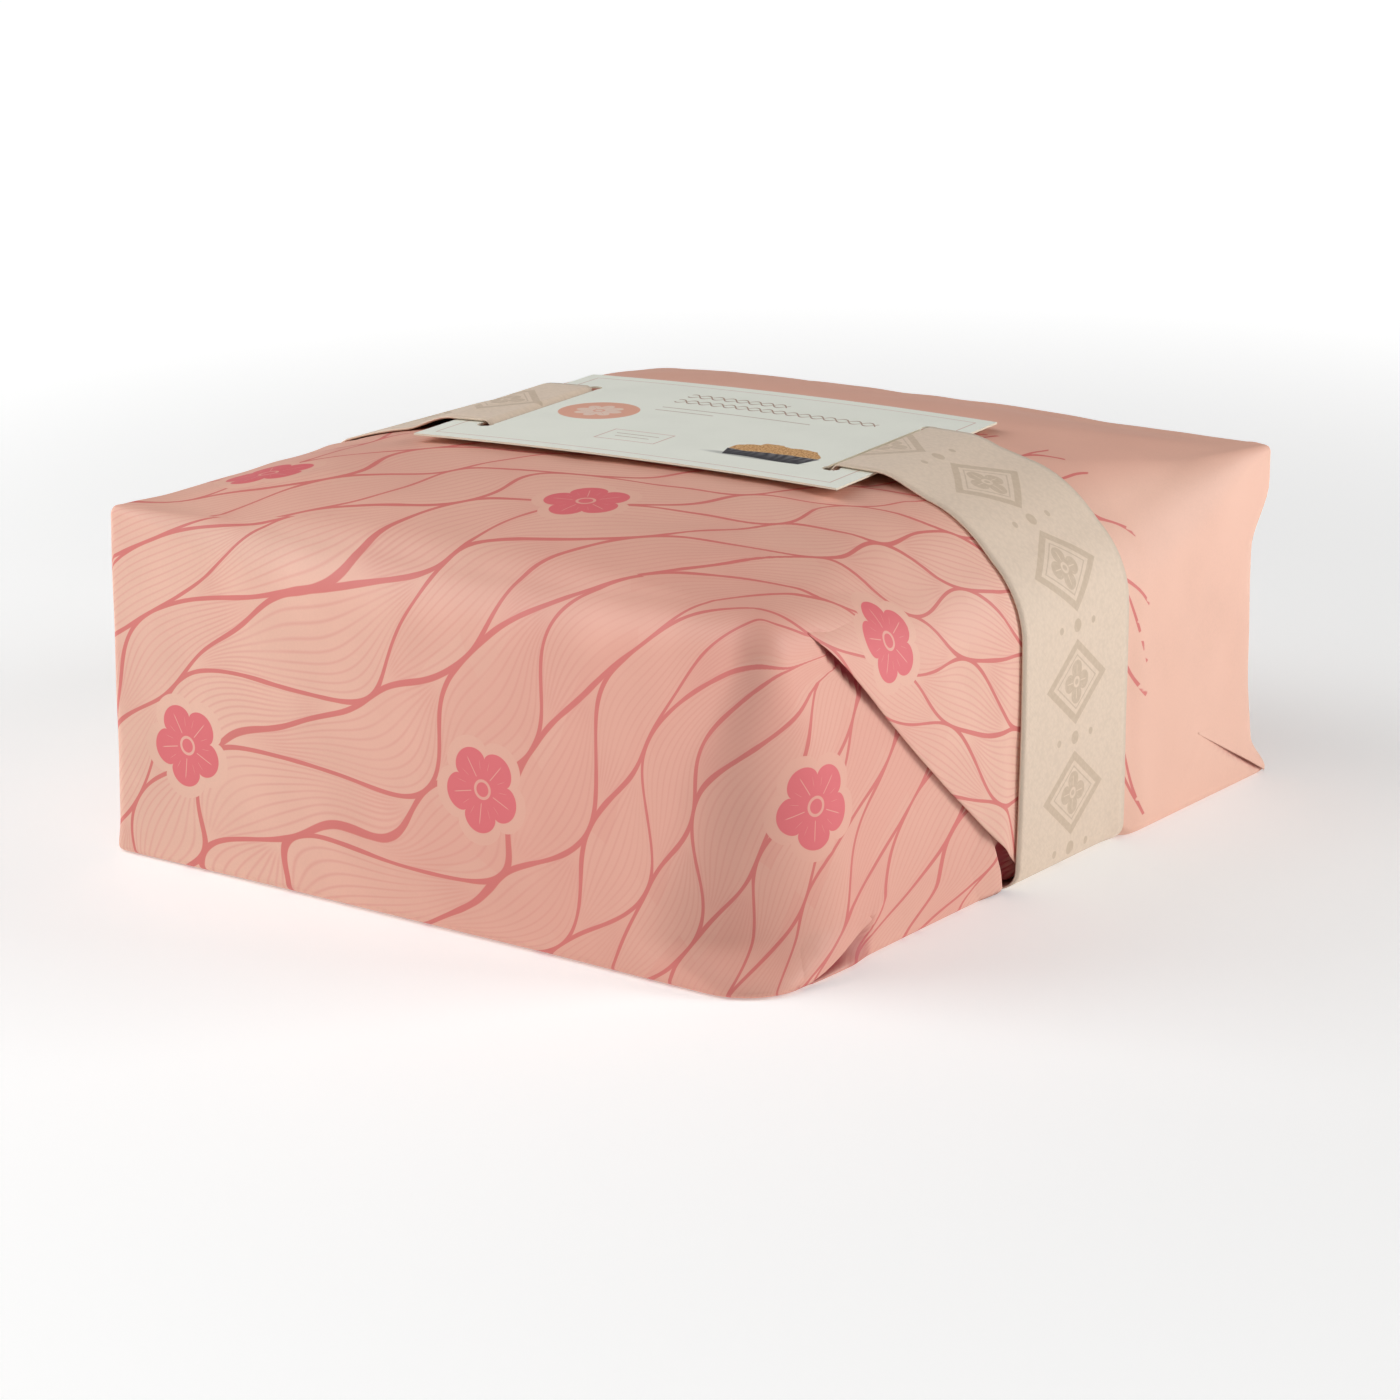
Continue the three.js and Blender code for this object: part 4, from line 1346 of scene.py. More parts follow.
def new_group(name, numbers, outputs):
    """An empty shader group that takes a place and some numbers, and gives numbers back.

    Returns it with the sockets that carry its inputs and those that take its outputs.
    """
    group = bpy.data.node_groups.new(name, "ShaderNodeTree")
    group.interface.new_socket("Vector", in_out="INPUT", socket_type="NodeSocketVector")
    for label, value in numbers.items():
        socket = group.interface.new_socket(label, in_out="INPUT", socket_type="NodeSocketFloat")
        socket.default_value = value
    for label in outputs:
        group.interface.new_socket(label, in_out="OUTPUT", socket_type="NodeSocketFloat")
    return group, group.nodes.new("NodeGroupInput").outputs, group.nodes.new("NodeGroupOutput").inputs


def use_group(tree, group, inputs):
    """The outputs of a shared group, as signals by name."""
    node = add_node(tree, "ShaderNodeGroup", inputs, node_tree=group)
    return {socket.name: Signal(tree, socket) for socket in node.outputs}


def dimmed(colour, share):
    """A colour turned down to a share of its light."""
    return tuple(share * value for value in colour[:3]) + (1,)


def mix(tree, share, low, high):
    """Colour between low and high."""
    node = add_node(tree, "ShaderNodeMix", data_type="RGBA")
    feed(tree, node.inputs["Factor"], share)
    feed(tree, node.inputs[6], low)
    feed(tree, node.inputs[7], high)
    return node.outputs[2]


print("node helpers ready")

# %% [markdown]
# A Geometry Nodes tree could stay on its object as a live modifier, but a piece that is handed over
# is best a plain mesh with its maps. So grow runs a tree once and keeps its result as a mesh.

# %% Helpers for geometry trees
def grow(name, tree, values, base=None):
    """Runs a geometry tree on a base mesh and keeps its result as a plain mesh object."""
    seed = put(name + "_seed", base or bpy.data.meshes.new(name + "_seed"))
    modifier = seed.modifiers.new("grow", "NODES")
    modifier.node_group = tree
    for item in tree.interface.items_tree:
        if item.item_type == "SOCKET" and item.in_out == "INPUT" and item.name in values:
            modifier[item.identifier] = values[item.name]
    depsgraph = bpy.context.evaluated_depsgraph_get()
    grown = seed.evaluated_get(depsgraph)
    mesh = bpy.data.meshes.new_from_object(grown, preserve_all_data_layers=True, depsgraph=depsgraph)
    seed.modifiers.remove(modifier)
    bpy.data.objects.remove(seed)
    mesh.name = name
    return put(name, mesh)


def store(tree, geometry, label, value, **settings):
    """The geometry with a named value kept on it."""
    inputs = {"Geometry": geometry, "Name": label, "Value": value}
    return first_out(tree, "GeometryNodeStoreNamedAttribute", inputs, **settings)


def new_tree(name, sizes, materials=("Finish",)):
    """An empty geometry tree with named inputs. Returns it with its input and output sockets."""
    tree = bpy.data.node_groups.new(name, "GeometryNodeTree")
    tree.interface.new_socket("Geometry", in_out="OUTPUT", socket_type="NodeSocketGeometry")
    tree.interface.new_socket("Geometry", in_out="INPUT", socket_type="NodeSocketGeometry")
    for label in sizes:
        tree.interface.new_socket(label, in_out="INPUT", socket_type="NodeSocketFloat")
    for label in materials:
        tree.interface.new_socket(label, in_out="INPUT", socket_type="NodeSocketMaterial")
    return tree, tree.nodes.new("NodeGroupInput").outputs, tree.nodes.new("NodeGroupOutput").inputs


print("geometry helpers ready")

# %% [markdown]
# ## Effects that several finishes share
#
# Paper, card and cloth all have a fine tooth, and the printed marks on all three are built from the
# same few outlines. Each effect is a node group with named inputs, built once: the tooth, a printed
# rectangle and a printed rosette. They put out masks and heights, and the shader stays outside. Two
# functions beside them begin and end a finish, so each finish below says only what is its own.

# %% Shared groups
def make_tooth():
    """Fine fibres and a slow unevenness, as one height and one tone."""
    numbers = {"Fineness": 900.0, "Mottle": 25.0}
    group, given, result = new_group("tooth", numbers, ["Height", "Tone"])
    fine = noise(group, given["Vector"], given["Fineness"], 3.0, 0.6)
    slow = noise(group, given["Vector"], given["Mottle"], 3.0)
    feed(group, result["Height"], fine)
    feed(group, result["Tone"], slow * 0.7 + fine * 0.3)
    return group


def make_rectangle():
    """The mask of a line along a rectangle's edge, and the mask of what is inside it."""
    numbers = {"Middle X": 0.0, "Middle Y": 0.0, "Half X": 10.0, "Half Y": 5.0, "Line": 0.3}
    group, given, result = new_group("rectangle", numbers, ["Outline", "Inside"])
    x, y, _ = split(group, given["Vector"])
    beyond_x = (x - given["Middle X"]).math("ABSOLUTE") - given["Half X"]
    beyond_y = (y - given["Middle Y"]).math("ABSOLUTE") - given["Half Y"]
    beyond = beyond_x.math("MAXIMUM", beyond_y)
    feed(group, result["Outline"], beyond.line(given["Line"], 0.08))
    feed(group, result["Inside"], beyond.falls(-0.08, 0.08))
    return group


def make_rosette():
    """A flower of round petals with veins and a ring in its middle, and the space round it."""
    numbers = {"Petals": 5.0, "Radius": 13.0, "Notch": 0.3, "Halo": 3.6}
    group, given, result = new_group("rosette", numbers, ["Petals", "Marks", "Halo"])
    x, y, _ = split(group, given["Vector"])
    away = length_of(x, y)
    half_turn = y.math("ARCTAN2", x) * given["Petals"] * 0.5
    lobe = half_turn.math("COSINE").math("ABSOLUTE").math("POWER", 0.6)
    edge = (1 - (1 - lobe) * given["Notch"]) * given["Radius"]
    vein = (half_turn.math("SINE").math("ABSOLUTE") * away).line(0.32, 0.14)
    side_vein = ((half_turn * 3).math("SINE").math("ABSOLUTE") * away).line(0.4, 0.2)
    share = away / given["Radius"]
    vein = vein * share.rises(0.3, 0.34) * share.falls(0.72, 0.84)
    side_vein = side_vein * share.rises(0.44, 0.5) * share.falls(0.6, 0.72) * 0.7
    ring = ((share - 0.2) * given["Radius"]).line(0.42, 0.12)
    feed(group, result["Petals"], (away - edge).falls(-0.14, 0.14))
    feed(group, result["Marks"], vein.math("MAXIMUM", side_vein).math("MAXIMUM", ring))
    feed(group, result["Halo"], (away - edge - given["Halo"]).falls(-0.14, 0.14))
    return group


def new_finish(name, fineness, mottle):
    """A material and its tree, with the object's own place and the tooth on its surface."""
    material, tree, _ = new_material(name)
    place = add_node(tree, "ShaderNodeTexCoord").outputs["Object"]
    tooth = use_group(tree, TOOTH, {"Vector": place, "Fineness": fineness, "Mottle": mottle})
    return material, tree, place, tooth


def settle(tree, colour, roughness, height, strength, bump_size):
    """Wires a finish's colour, roughness and relief to its surface shader. bump_size is in metres."""
    shader = tree.nodes["Principled BSDF"]
    relief_inputs = {"Height": height, "Strength": strength, "Distance": bump_size}
    feed(tree, shader.inputs["Base Color"], colour)
    feed(tree, shader.inputs["Roughness"], roughness)
    feed(tree, shader.inputs["Normal"], first_out(tree, "ShaderNodeBump", relief_inputs))
    return shader


TOOTH = make_tooth()
RECTANGLE = make_rectangle()
ROSETTE = make_rosette()
print("shared groups", TOOTH.name, RECTANGLE.name, ROSETTE.name)

# %% [markdown]
# ## The printed paper
#
# The print is a field of long veined leaves in rose lines on peach pink, with five-petalled blossoms
# set in clear rings. It is a formula on the flat sheet's own millimetres, so it keeps its scale on
# every side and turns with the folds. An image could do that too, but this lesson loads none. Pairs
# of mirrored waves touch and part again, which draws the leaves. Hair lines divide each leaf
# lengthwise. The print ends raggedly just behind the ribbon, where the strokes run out one by one,
# and the rest of the sheet is plain.

# %% The leaf print
PRINT_TURN = math.radians(48)
LEAF_PITCH = 12.5
LEAF_LENGTH = 80.0
LEAF_SWING = 0.48
BEND_ALONG = 14.0
BEND_ACROSS = 17.0
BEND_SHORT = 6.0
STRAY_ALONG = 60.0
STRAY_ACROSS = 44.0
LEAF_LINE = {"thin": 0.5, "where_narrow": 0.55, "uneven": 0.5}
HAIRS = 9.0
BLOSSOM_SPACING = (158.0, 78.0)
BLOSSOM_SHIFT = (31.0, 24.0)
PRINT_ENDS = 292.0
STROKES_END = 287.0
STROKES_RAGGED = 28.0
# Middle and reach of the rose flush: denser print, and painted shade about the near right corner.
INK_AND_SHADE_MIDDLE = (112.0, 48.0)
INK_AND_SHADE_REACH = (25.0, 210.0)


def leaf_marks(group, given, across, up, along, over):
    """The leaves' outlines, their hair lines, and a number from 0 to 1 for each leaf."""
    pitch, length = Signal(group, given["Pitch"]), Signal(group, given["Length"])
    stray = noise(group, given["Vector"], 0.011, 1.0) - 0.5
    swing = (across / 49 + 0.4).math("SINE") * BEND_ACROSS
    bent_along = along + (up / 39 + 0.7).math("SINE") * BEND_ALONG + stray * STRAY_ALONG
    bent_over = over + swing + (along / 27).math("SINE") * BEND_SHORT - stray * STRAY_ACROSS
    row = (bent_over / pitch).math("FLOOR")
    into = bent_over - row * pitch
    mirror = 1 - row.math("FLOORED_MODULO", 2.0) * 2
    wave = (bent_along / length * FULL_TURN).math("COSINE") * mirror * pitch * LEAF_SWING
    below = into.math("LESS_THAN", wave)
    above = into.math("GREATER_THAN", pitch - wave)
    outside = below + above
    start = wave * (1 - outside) - below * (pitch + wave) + above * (pitch - wave)
    width = pitch - wave * 2 * (1 - outside * 2)
    share = (into - start) / width
    near = share.math("MINIMUM", 1 - share) * width
    stroke = noise(group, given["Vector"], 0.09, 1.0) - 0.5
    narrow = (1 - width / (pitch * 1.95)).math("MAXIMUM", 0.0)
    thick = LEAF_LINE["thin"] + narrow * LEAF_LINE["where_narrow"] + stroke * LEAF_LINE["uneven"]
    spacing = width / HAIRS
    hair_at = ((share * HAIRS + 0.5).math("FRACT") - 0.5).math("ABSOLUTE") * spacing
    hair = hair_at.line(0.28, 0.3) * spacing.rises(0.4, 1.1)
    hair = hair * (noise(group, given["Vector"], 0.035, 1.0).rises(0.3, 0.55) * 0.5 + 0.5)
    cell = (bent_along / length + row * 0.5).math("FLOOR")
    leaf = join(group, row - below + above, cell)
    odd = add_node(group, "ShaderNodeTexWhiteNoise", {"Vector": leaf}).outputs["Value"]
    return near.line(thick, 0.12), hair, Signal(group, odd)


def blossoms(group, along, over):
    """Rosettes in staggered rows."""
    pitch_a, pitch_b = BLOSSOM_SPACING
    row = (over + BLOSSOM_SHIFT[1]) / pitch_b
    stagger = row.math("FLOOR").math("FLOORED_MODULO", 2.0) * 0.5
    shifted = (along + BLOSSOM_SHIFT[0]) / pitch_a + stagger
    flower_x = (shifted.math("FRACT") - 0.5) * pitch_a
    flower_y = (row.math("FRACT") - 0.5) * pitch_b
    return use_group(group, ROSETTE, {"Vector": join(group, flower_x, flower_y)})


def make_leaf_print():
    """The print's masks.

    Its flush is rose where the print is dense, and also paints shade about the near right corner.
    Tint shades each leaf its own way.
    """
    numbers = {"Pitch": LEAF_PITCH, "Length": LEAF_LENGTH}
    outputs = ["Line", "Hair", "Tint", "Ink And Shade", "Blossom"]
    group, given, result = new_group("leaf_print", numbers, outputs)
    across, up, _ = split(group, given["Vector"])
    along = across * math.cos(PRINT_TURN) + up * math.sin(PRINT_TURN)
    over = up * math.cos(PRINT_TURN) - across * math.sin(PRINT_TURN)
    line, hair, odd = leaf_marks(group, given, across, up, along, over)
    flower = blossoms(group, along, over)
    # The flush: where the print is dense, and painted shade, deepest halfway up the near right corner.
    ink = length_of(across - INK_AND_SHADE_MIDDLE[0], up - INK_AND_SHADE_MIDDLE[1]).falls(*INK_AND_SHADE_REACH)
    ragged = noise(group, join(group, across, up * 0.15), 0.22, 1.0)
    strokes_end = (up - ragged * STROKES_RAGGED - STROKES_END).falls(-0.6, 0.6)
    ends = (up - PRINT_ENDS).falls(-9.0, 0.0)
    clear = (1 - flower["Halo"]) * ends
    feed(group, result["Line"], line * (1 - flower["Halo"]) * strokes_end)
    feed(group, result["Hair"], hair * clear * (1 - line))
    feed(group, result["Tint"], odd * clear)
    feed(group, result["Ink And Shade"], ink * ends)
    feed(group, result["Blossom"], flower["Petals"] * (1 - flower["Marks"] * 0.8) * ends)
    return group


LEAF_PRINT = make_leaf_print()
print("leaf print", len(LEAF_PRINT.nodes), "nodes")

# %% [markdown]
# The paper is satin, with a faint crinkle under the print. Its colours lie over each other: the peach
# ground; a rose flush where the print is dense, which also paints shade about the near right corner;
# the same flush as painted shade on the lifted top; the hair lines, the outlines, the blossoms. Where
# paper faces paper in a fold, little light comes back and it is red from the print, so shade is
# painted there: its amount, kept on the points of each sheet, is mixed in last.

# %% The paper's finish
PEACH = (0.87, 0.53, 0.41, 1)
# The rose of the flush, which is both print and painted shade.
FLUSH = (0.80, 0.385, 0.30, 1)
ROSE = (0.69, 0.172, 0.158, 1)
BLOSSOM_ROSE = (0.76, 0.165, 0.181, 1)
HAIR_ROSE = (0.76, 0.33, 0.275, 1)
# Heights in metres over which painted shade darkens the lifted top.
TOP_PAINTED_SHADE = (0.103, 0.114)
FOLD_SHADE = (0.42, 0.035, 0.05, 1)


def make_paper_finish():
    material, tree, place, tooth = new_finish("printed_paper", fineness=1400.0, mottle=22.0)
    sheet = first_out(tree, "ShaderNodeUVMap", uv_map="sheet")
    printed = use_group(tree, LEAF_PRINT, {"Vector": sheet})
    ground = mix(tree, tooth["Tone"].rises(0.35, 0.65), PEACH, dimmed(PEACH, 0.93))
    _, _, level = split(tree, place)
    # The flush: denser print and painted shade near the right corner, and painted shade on the lifted
    # top.
    flush = printed["Ink And Shade"] * (0.62 + printed["Tint"] * 0.3)
    colour = mix(tree, flush.math("MAXIMUM", level.rises(*TOP_PAINTED_SHADE) * 0.36), ground, FLUSH)
    colour = mix(tree, printed["Tint"] * 0.1 + printed["Hair"] * 0.55, colour, HAIR_ROSE)
    colour = mix(tree, printed["Line"] * 0.92, colour, ROSE)
    colour = mix(tree, printed["Blossom"], colour, BLOSSOM_ROSE)
    # Painted shade in the folds, by the fold_shade value kept on the points.
    folded = add_node(tree, "ShaderNodeAttribute", attribute_name="fold_shade").outputs["Fac"]
    colour = mix(tree, Signal(tree, folded) * 0.92, colour, FOLD_SHADE)
    crinkle = noise(tree, place, scale=120.0, detail=3.0, roughness=0.55)
    height = crinkle * 0.8 + tooth["Height"] * 0.12
    roughness = 0.46 + tooth["Tone"] * 0.14
    shader = settle(tree, colour, roughness, height, strength=0.35, bump_size=0.0004)
    shader.inputs["Specular IOR Level"].default_value = 0.38
    return material


PAPER_FINISH = make_paper_finish()
for sheet in [paper, *flaps, *tucks, *underneath]:
    sheet.data.materials.append(PAPER_FINISH)
print("finish", PAPER_FINISH.name)

# %% [markdown]
# ## The ribbon's cloth
#
# The ribbon is a stiff woven band with a pebbled face, a plain border and a pale taupe ornament that
# repeats along its middle: lozenges with a small flower, and beads between them. Everything is read
# from the band's own map, one unit for each millimetre, so the weave runs straight round corners.

# %% The ribbon's finish
CLOTH = (0.775, 0.62, 0.485, 1)
TAUPE = (0.60, 0.46, 0.335, 1)
THREAD = 0.62
LOZENGE_HALF = (11.5, 15.0)
BEAD_ASIDE = 9.0
BORDER_FROM = 28.6


def ornament_ink(tree, along, across):
    """The mask of the lozenges with their flowers, and of the beads between them."""
    cell = ((along / ORNAMENT_PITCH).math("FRACT") - 0.5) * ORNAMENT_PITCH
    aside = across.math("ABSOLUTE")
    lozenge = (cell.math("ABSOLUTE") / LOZENGE_HALF[0] + aside / LOZENGE_HALF[1] - 1) * 9.0
    flower = use_group(tree, ROSETTE, {
        "Vector": join(tree, cell, across), "Petals": 4.0, "Radius": 6.6, "Notch": 0.55, "Halo": 1.0,
    })
    between = ORNAMENT_PITCH / 2 - cell.math("ABSOLUTE")
    large, small = length_of(between, across), length_of(between, aside - BEAD_ASIDE)
    ink = lozenge.line(1.15).math("MAXIMUM", (lozenge + 2.6).line(0.22))
    ink = ink.math("MAXIMUM", flower["Petals"] * (1 - flower["Marks"]))
    return ink.math("MAXIMUM", large.falls(1.9, 2.1)).math("MAXIMUM", small.falls(1.0, 1.2))


def make_cloth_finish(name, ornament):
    material, tree, _, tooth = new_finish(name, fineness=1700.0, mottle=60.0)
    cloth = first_out(tree, "ShaderNodeUVMap", uv_map="cloth")
    along, across, _ = split(tree, cloth)
    warp, weft = ((way * (math.pi / THREAD)).math("SINE") for way in (along, across))
    pebble_inputs = {"Vector": cloth, "Scale": 0.95}
    grain = Signal(tree, first_out(tree, "ShaderNodeTexVoronoi", pebble_inputs, feature="SMOOTH_F1"))
    colour = mix(tree, (grain + tooth["Tone"] * 0.5).rises(0.3, 1.1), CLOTH, dimmed(CLOTH, 0.93))
    if ornament:
        ink = ornament_ink(tree, along, across)
        colour = mix(tree, ink * (0.9 + (grain - 0.4) * 0.4), colour, TAUPE)
    border = (across.math("ABSOLUTE") - BORDER_FROM).rises(-0.25, 0.25)
    colour = mix(tree, border * 0.3, colour, dimmed(CLOTH, 0.85))
    height = (1 - grain) * 0.7 + (warp * weft) * 0.16 + tooth["Height"] * 0.3 - border * 0.5
    shader = settle(tree, colour, 0.62 + grain * 0.2, height, strength=0.4, bump_size=0.0002)
    shader.inputs["Sheen Weight"].default_value = 0.12
    shader.inputs["Sheen Roughness"].default_value = 0.5
    return material


RIBBON_FINISH = make_cloth_finish("ribbon_cloth", True)
EDGE_FINISH = make_cloth_finish("ribbon_edge_cloth", False)
ribbon.data.materials.append(RIBBON_FINISH)
print("finishes", RIBBON_FINISH.name, EDGE_FINISH.name)

# %% [markdown]
# A woven ribbon doesn't end in a knife edge: its outermost threads are packed into a fine round
# selvedge, which catches the light as a thin line. It follows the band's edge all the way round, so
# Geometry Nodes sweep it: a loop of edge points becomes a curve, the curve keeps its running length
# for the cloth's map, and a small circle is drawn along it.

# %% The ribbon's selvedge
SELVEDGE_RADIUS = 0.3
ROWS_BACK_TO_UNDERSIDE = 22


def make_selvedge_tree():
    tree, given, result = new_tree("selvedge_maker", ["Radius"])
    curve = first_out(tree, "GeometryNodeMeshToCurve", {"Mesh": given["Geometry"]})
    length = add_node(tree, "GeometryNodeSplineParameter").outputs["Length"]
    kept = store(tree, curve, "running_length", length)
    circle_inputs = {"Resolution": 8, "Radius": given["Radius"]}
    circle = first_out(tree, "GeometryNodeCurvePrimitiveCircle", circle_inputs)
    swept = first_out(tree, "GeometryNodeCurveToMesh", {"Curve": kept, "Profile Curve": circle})
    run = add_node(tree, "GeometryNodeInputNamedAttribute", {"Name": "running_length"})
    flat = join(tree, Signal(tree, run.outputs["Attribute"]) * (1 / MM), RIBBON_WIDTH / 2)
    mapped = store(tree, swept, "cloth", flat, data_type="FLOAT2", domain="CORNER")
    rounded = first_out(tree, "GeometryNodeSetShadeSmooth", {"Geometry": mapped})
    real = first_out(tree, "GeometryNodeRealizeInstances", {"Geometry": rounded})
    material_inputs = {"Geometry": real, "Material": given["Finish"]}
    feed(tree, result["Geometry"], first_out(tree, "GeometryNodeSetMaterial", material_inputs))
    return tree


def edge_loops():
    """A mesh of the ribbon's two edge lines, in the middle of its thickness. They close underneath."""
    lines = RIBBON_ROWS + RIBBON_NORMALS * (RIBBON_LIFT + RIBBON_THICKNESS / 2)
    lines = np.roll(lines, ROWS_BACK_TO_UNDERSIDE, 0)
    count = len(lines)
    points = np.concatenate([lines[:, 0], lines[:, -1]]) * MM
    edges = [(start + i, start + (i + 1) % count) for start in (0, count) for i in range(count)]
    mesh = bpy.data.meshes.new("edge_loops")
    mesh.from_pydata(points.tolist(), edges, [])
    return mesh


selvedge_sizes = {"Radius": SELVEDGE_RADIUS * MM, "Finish": EDGE_FINISH}
selvedge = grow("ribbon_selvedge", make_selvedge_tree(), selvedge_sizes, edge_loops())
print("ribbon_selvedge", len(selvedge.data.polygons), "faces")

# %% [markdown]
# ## The card
#
# The card is a stiff printed sheet with two slits, through which the ribbon is threaded. Its shape
# is a rule from start to end, so Geometry Nodes make it: a thin box is cut by two slit cutters that
# are instances on two points, its flat place is kept as a map for the print, and then it is bowed,
# turned and laid in its place. The cutters end in small round holes, as punched slits do.

# %% The card's shape
SLIT_HOLE = 2.7
CARD_STEPS = 75


def cut_or_join(tree, operation, parts, base=None):
    """The union of parts, or a base with the parts cut out of it."""
    node = add_node(tree, "GeometryNodeMeshBoolean", operation=operation, solver="EXACT")
    if base is not None:
        tree.links.new(base, node.inputs["Mesh 1"])
    for part in parts:
        tree.links.new(part, node.inputs["Mesh 2"])
    return node.outputs[0]


def on_both_sides(tree, shape, **aside):
    """Real copies of a shape on both sides of the middle, this far away along x or y."""
    back = {axis: value * -2 for axis, value in aside.items()}
    line_inputs = {"Count": 2, "Start Location": join(tree, **aside), "Offset": join(tree, **back)}
    line = first_out(tree, "GeometryNodeMeshLine", line_inputs)
    copies = first_out(tree, "GeometryNodeInstanceOnPoints", {"Points": line, "Instance": shape})
    return first_out(tree, "GeometryNodeRealizeInstances", {"Geometry": copies})


def slit_cutters(tree, given):
    """A slot with a round hole at each end, for each of the two slits."""
    punch = Signal(tree, given["Thickness"]) * 4
    slot_size = join(tree, given["Slit Width"], given["Slit Length"], punch)
    slot = first_out(tree, "GeometryNodeMeshCube", {"Size": slot_size})
    hole_inputs = {"Vertices": 24, "Radius": given["Hole"], "Depth": punch}
    hole = first_out(tree, "GeometryNodeMeshCylinder", hole_inputs)
    holes = on_both_sides(tree, hole, y=Signal(tree, given["Slit Length"]) * 0.5)
    cutter = cut_or_join(tree, "UNION", (slot, holes))
    return on_both_sides(tree, cutter, x=Signal(tree, given["Slit Offset"]))


def make_card_tree():
    sizes = ["Length", "Width", "Thickness", "Slit Offset", "Slit Width", "Slit Length", "Hole"]
    sizes += ["Low", "Bow", "Turn", "Place X", "Place Y"]
    tree, given, result = new_tree("card_maker", sizes, ("Face", "Core"))
    box_inputs = {"Size": join(tree, given["Length"], given["Width"], given["Thickness"])}
    box_inputs |= {"Vertices X": CARD_STEPS, "Vertices Y": 3, "Vertices Z": 2}
    box = first_out(tree, "GeometryNodeMeshCube", box_inputs)
    cut = cut_or_join(tree, "DIFFERENCE", [slit_cutters(tree, given)], box)
    at = first_out(tree, "GeometryNodeInputPosition")
    flat = add_node(tree, "ShaderNodeVectorMath", {0: at}, operation="SCALE")
    flat.inputs["Scale"].default_value = 1 / MM
    kept = store(tree, cut, "card", flat.outputs[0], data_type="FLOAT2", domain="CORNER")
    along, _, _ = split(tree, at)
    share = along * 2 / given["Length"]
    middle = Signal(tree, given["Low"]) + Signal(tree, given["Thickness"]) * 0.5
    raised = join(tree, z=middle - share * share * given["Bow"])
    bowed = first_out(tree, "GeometryNodeSetPosition", {"Geometry": kept, "Offset": raised})
    laid = first_out(tree, "GeometryNodeTransform", {
        "Geometry": bowed,
        "Translation": join(tree, given["Place X"], given["Place Y"]),
        "Rotation": join(tree, z=given["Turn"]),
    })
    core = first_out(tree, "GeometryNodeSetMaterial", {"Geometry": laid, "Material": given["Core"]})
    _, _, up = split(tree, first_out(tree, "GeometryNodeInputNormal"))
    on_top = up.math("GREATER_THAN", 0.5)
    face_inputs = {"Geometry": core, "Selection": on_top, "Material": given["Face"]}
    feed(tree, result["Geometry"], first_out(tree, "GeometryNodeSetMaterial", face_inputs))
    return tree


CARD_TREE = make_card_tree()
print("card tree", len(CARD_TREE.nodes), "nodes")

# %% [markdown]
# The card's print is laid out in its own millimetres from its middle: a thin border, a pale rosette
# on a salmon disc, a small framed panel, two chains of links and fine lines where a title would
# stand, and a little loaf in its dark case. There is no lettering on it. Each motif is a function
# that takes the colour so far and returns it with the motif on top, as inks are printed one by one.

# %% The card's motifs
CARD_WHITE = (0.89, 0.90, 0.81, 1)
CARD_CREAM = (0.83, 0.77, 0.62, 1)
SALMON = (0.80, 0.42, 0.31, 1)
CARD_INK = (0.36, 0.20, 0.13, 1)
FINE_ROSE = (0.62, 0.36, 0.30, 1)
CRUST = (0.46, 0.20, 0.07, 1)
CRUST_LIGHT = (0.78, 0.48, 0.22, 1)
CASE_GREY = (0.05, 0.048, 0.055, 1)
CASE_LIGHT = (0.21, 0.20, 0.21, 1)
SUGAR = (0.86, 0.68, 0.44, 1)
CARD_BORDER = (69.0, 47.5)
CARD_DISC = (-40.0, 1.0, 13.0)
CARD_PANEL = (-10.0, -27.0, 10.5, 6.5)
TITLE_CHAINS = [(-8.0, 34.0, 18.0, 2.6), (10.0, 25.5, 36.0, 2.6)]
CHAIN_LINK = 4.5
FINE_LINES = [(1.5, 15.0, 26.5, 0.35), (-14.5, 10.5, 10.5, 0.35)]
FINE_LINES += [(-10.0, -25.0, 7.5, 0.3), (-10.0, -28.6, 6.0, 0.3)]
CARD_LOAF = (37.5, -25.5)
LOAF_HALF = 15.0


def box_at(tree, flat, middle_x, middle_y, half_x, half_y):
    """Masks of a printed rectangle."""
    return use_group(tree, RECTANGLE, {
        "Vector": flat, "Middle X": middle_x, "Middle Y": middle_y,
        "Half X": half_x, "Half Y": half_y, "Line": 0.22,
    })


def with_disc(tree, x, y, colour):
    """Adds a pale rosette on a salmon disc."""
    middle_x, middle_y, radius = CARD_DISC
    x, y = x - middle_x, y - middle_y
    colour = mix(tree, (length_of(x, y) - radius).falls(-0.1, 0.1), colour, SALMON)
    rosette_inputs = {"Vector": join(tree, x, y), "Petals": 8.0, "Radius": 8.0, "Notch": 0.4}
    rosette = use_group(tree, ROSETTE, rosette_inputs)
    return mix(tree, rosette["Petals"] * (1 - rosette["Marks"]) * 0.45, colour, CARD_WHITE)


def with_chains(tree, flat, x, y, colour):
    """Adds the chains of links and the fine lines."""
    for chain in TITLE_CHAINS:
        _, middle_y, _, half_y = chain
        link = (x * (math.pi / CHAIN_LINK)).math("SINE").math("ABSOLUTE") * (half_y - 0.4)
        links = ((y - middle_y).math("ABSOLUTE") - link).line(0.42, 0.1)
        links = links * box_at(tree, flat, *chain)["Inside"]
        colour = mix(tree, links * 0.85, colour, CARD_INK)
    for bar in FINE_LINES:
        colour = mix(tree, box_at(tree, flat, *bar)["Inside"] * 0.6, colour, CARD_INK)
    return colour


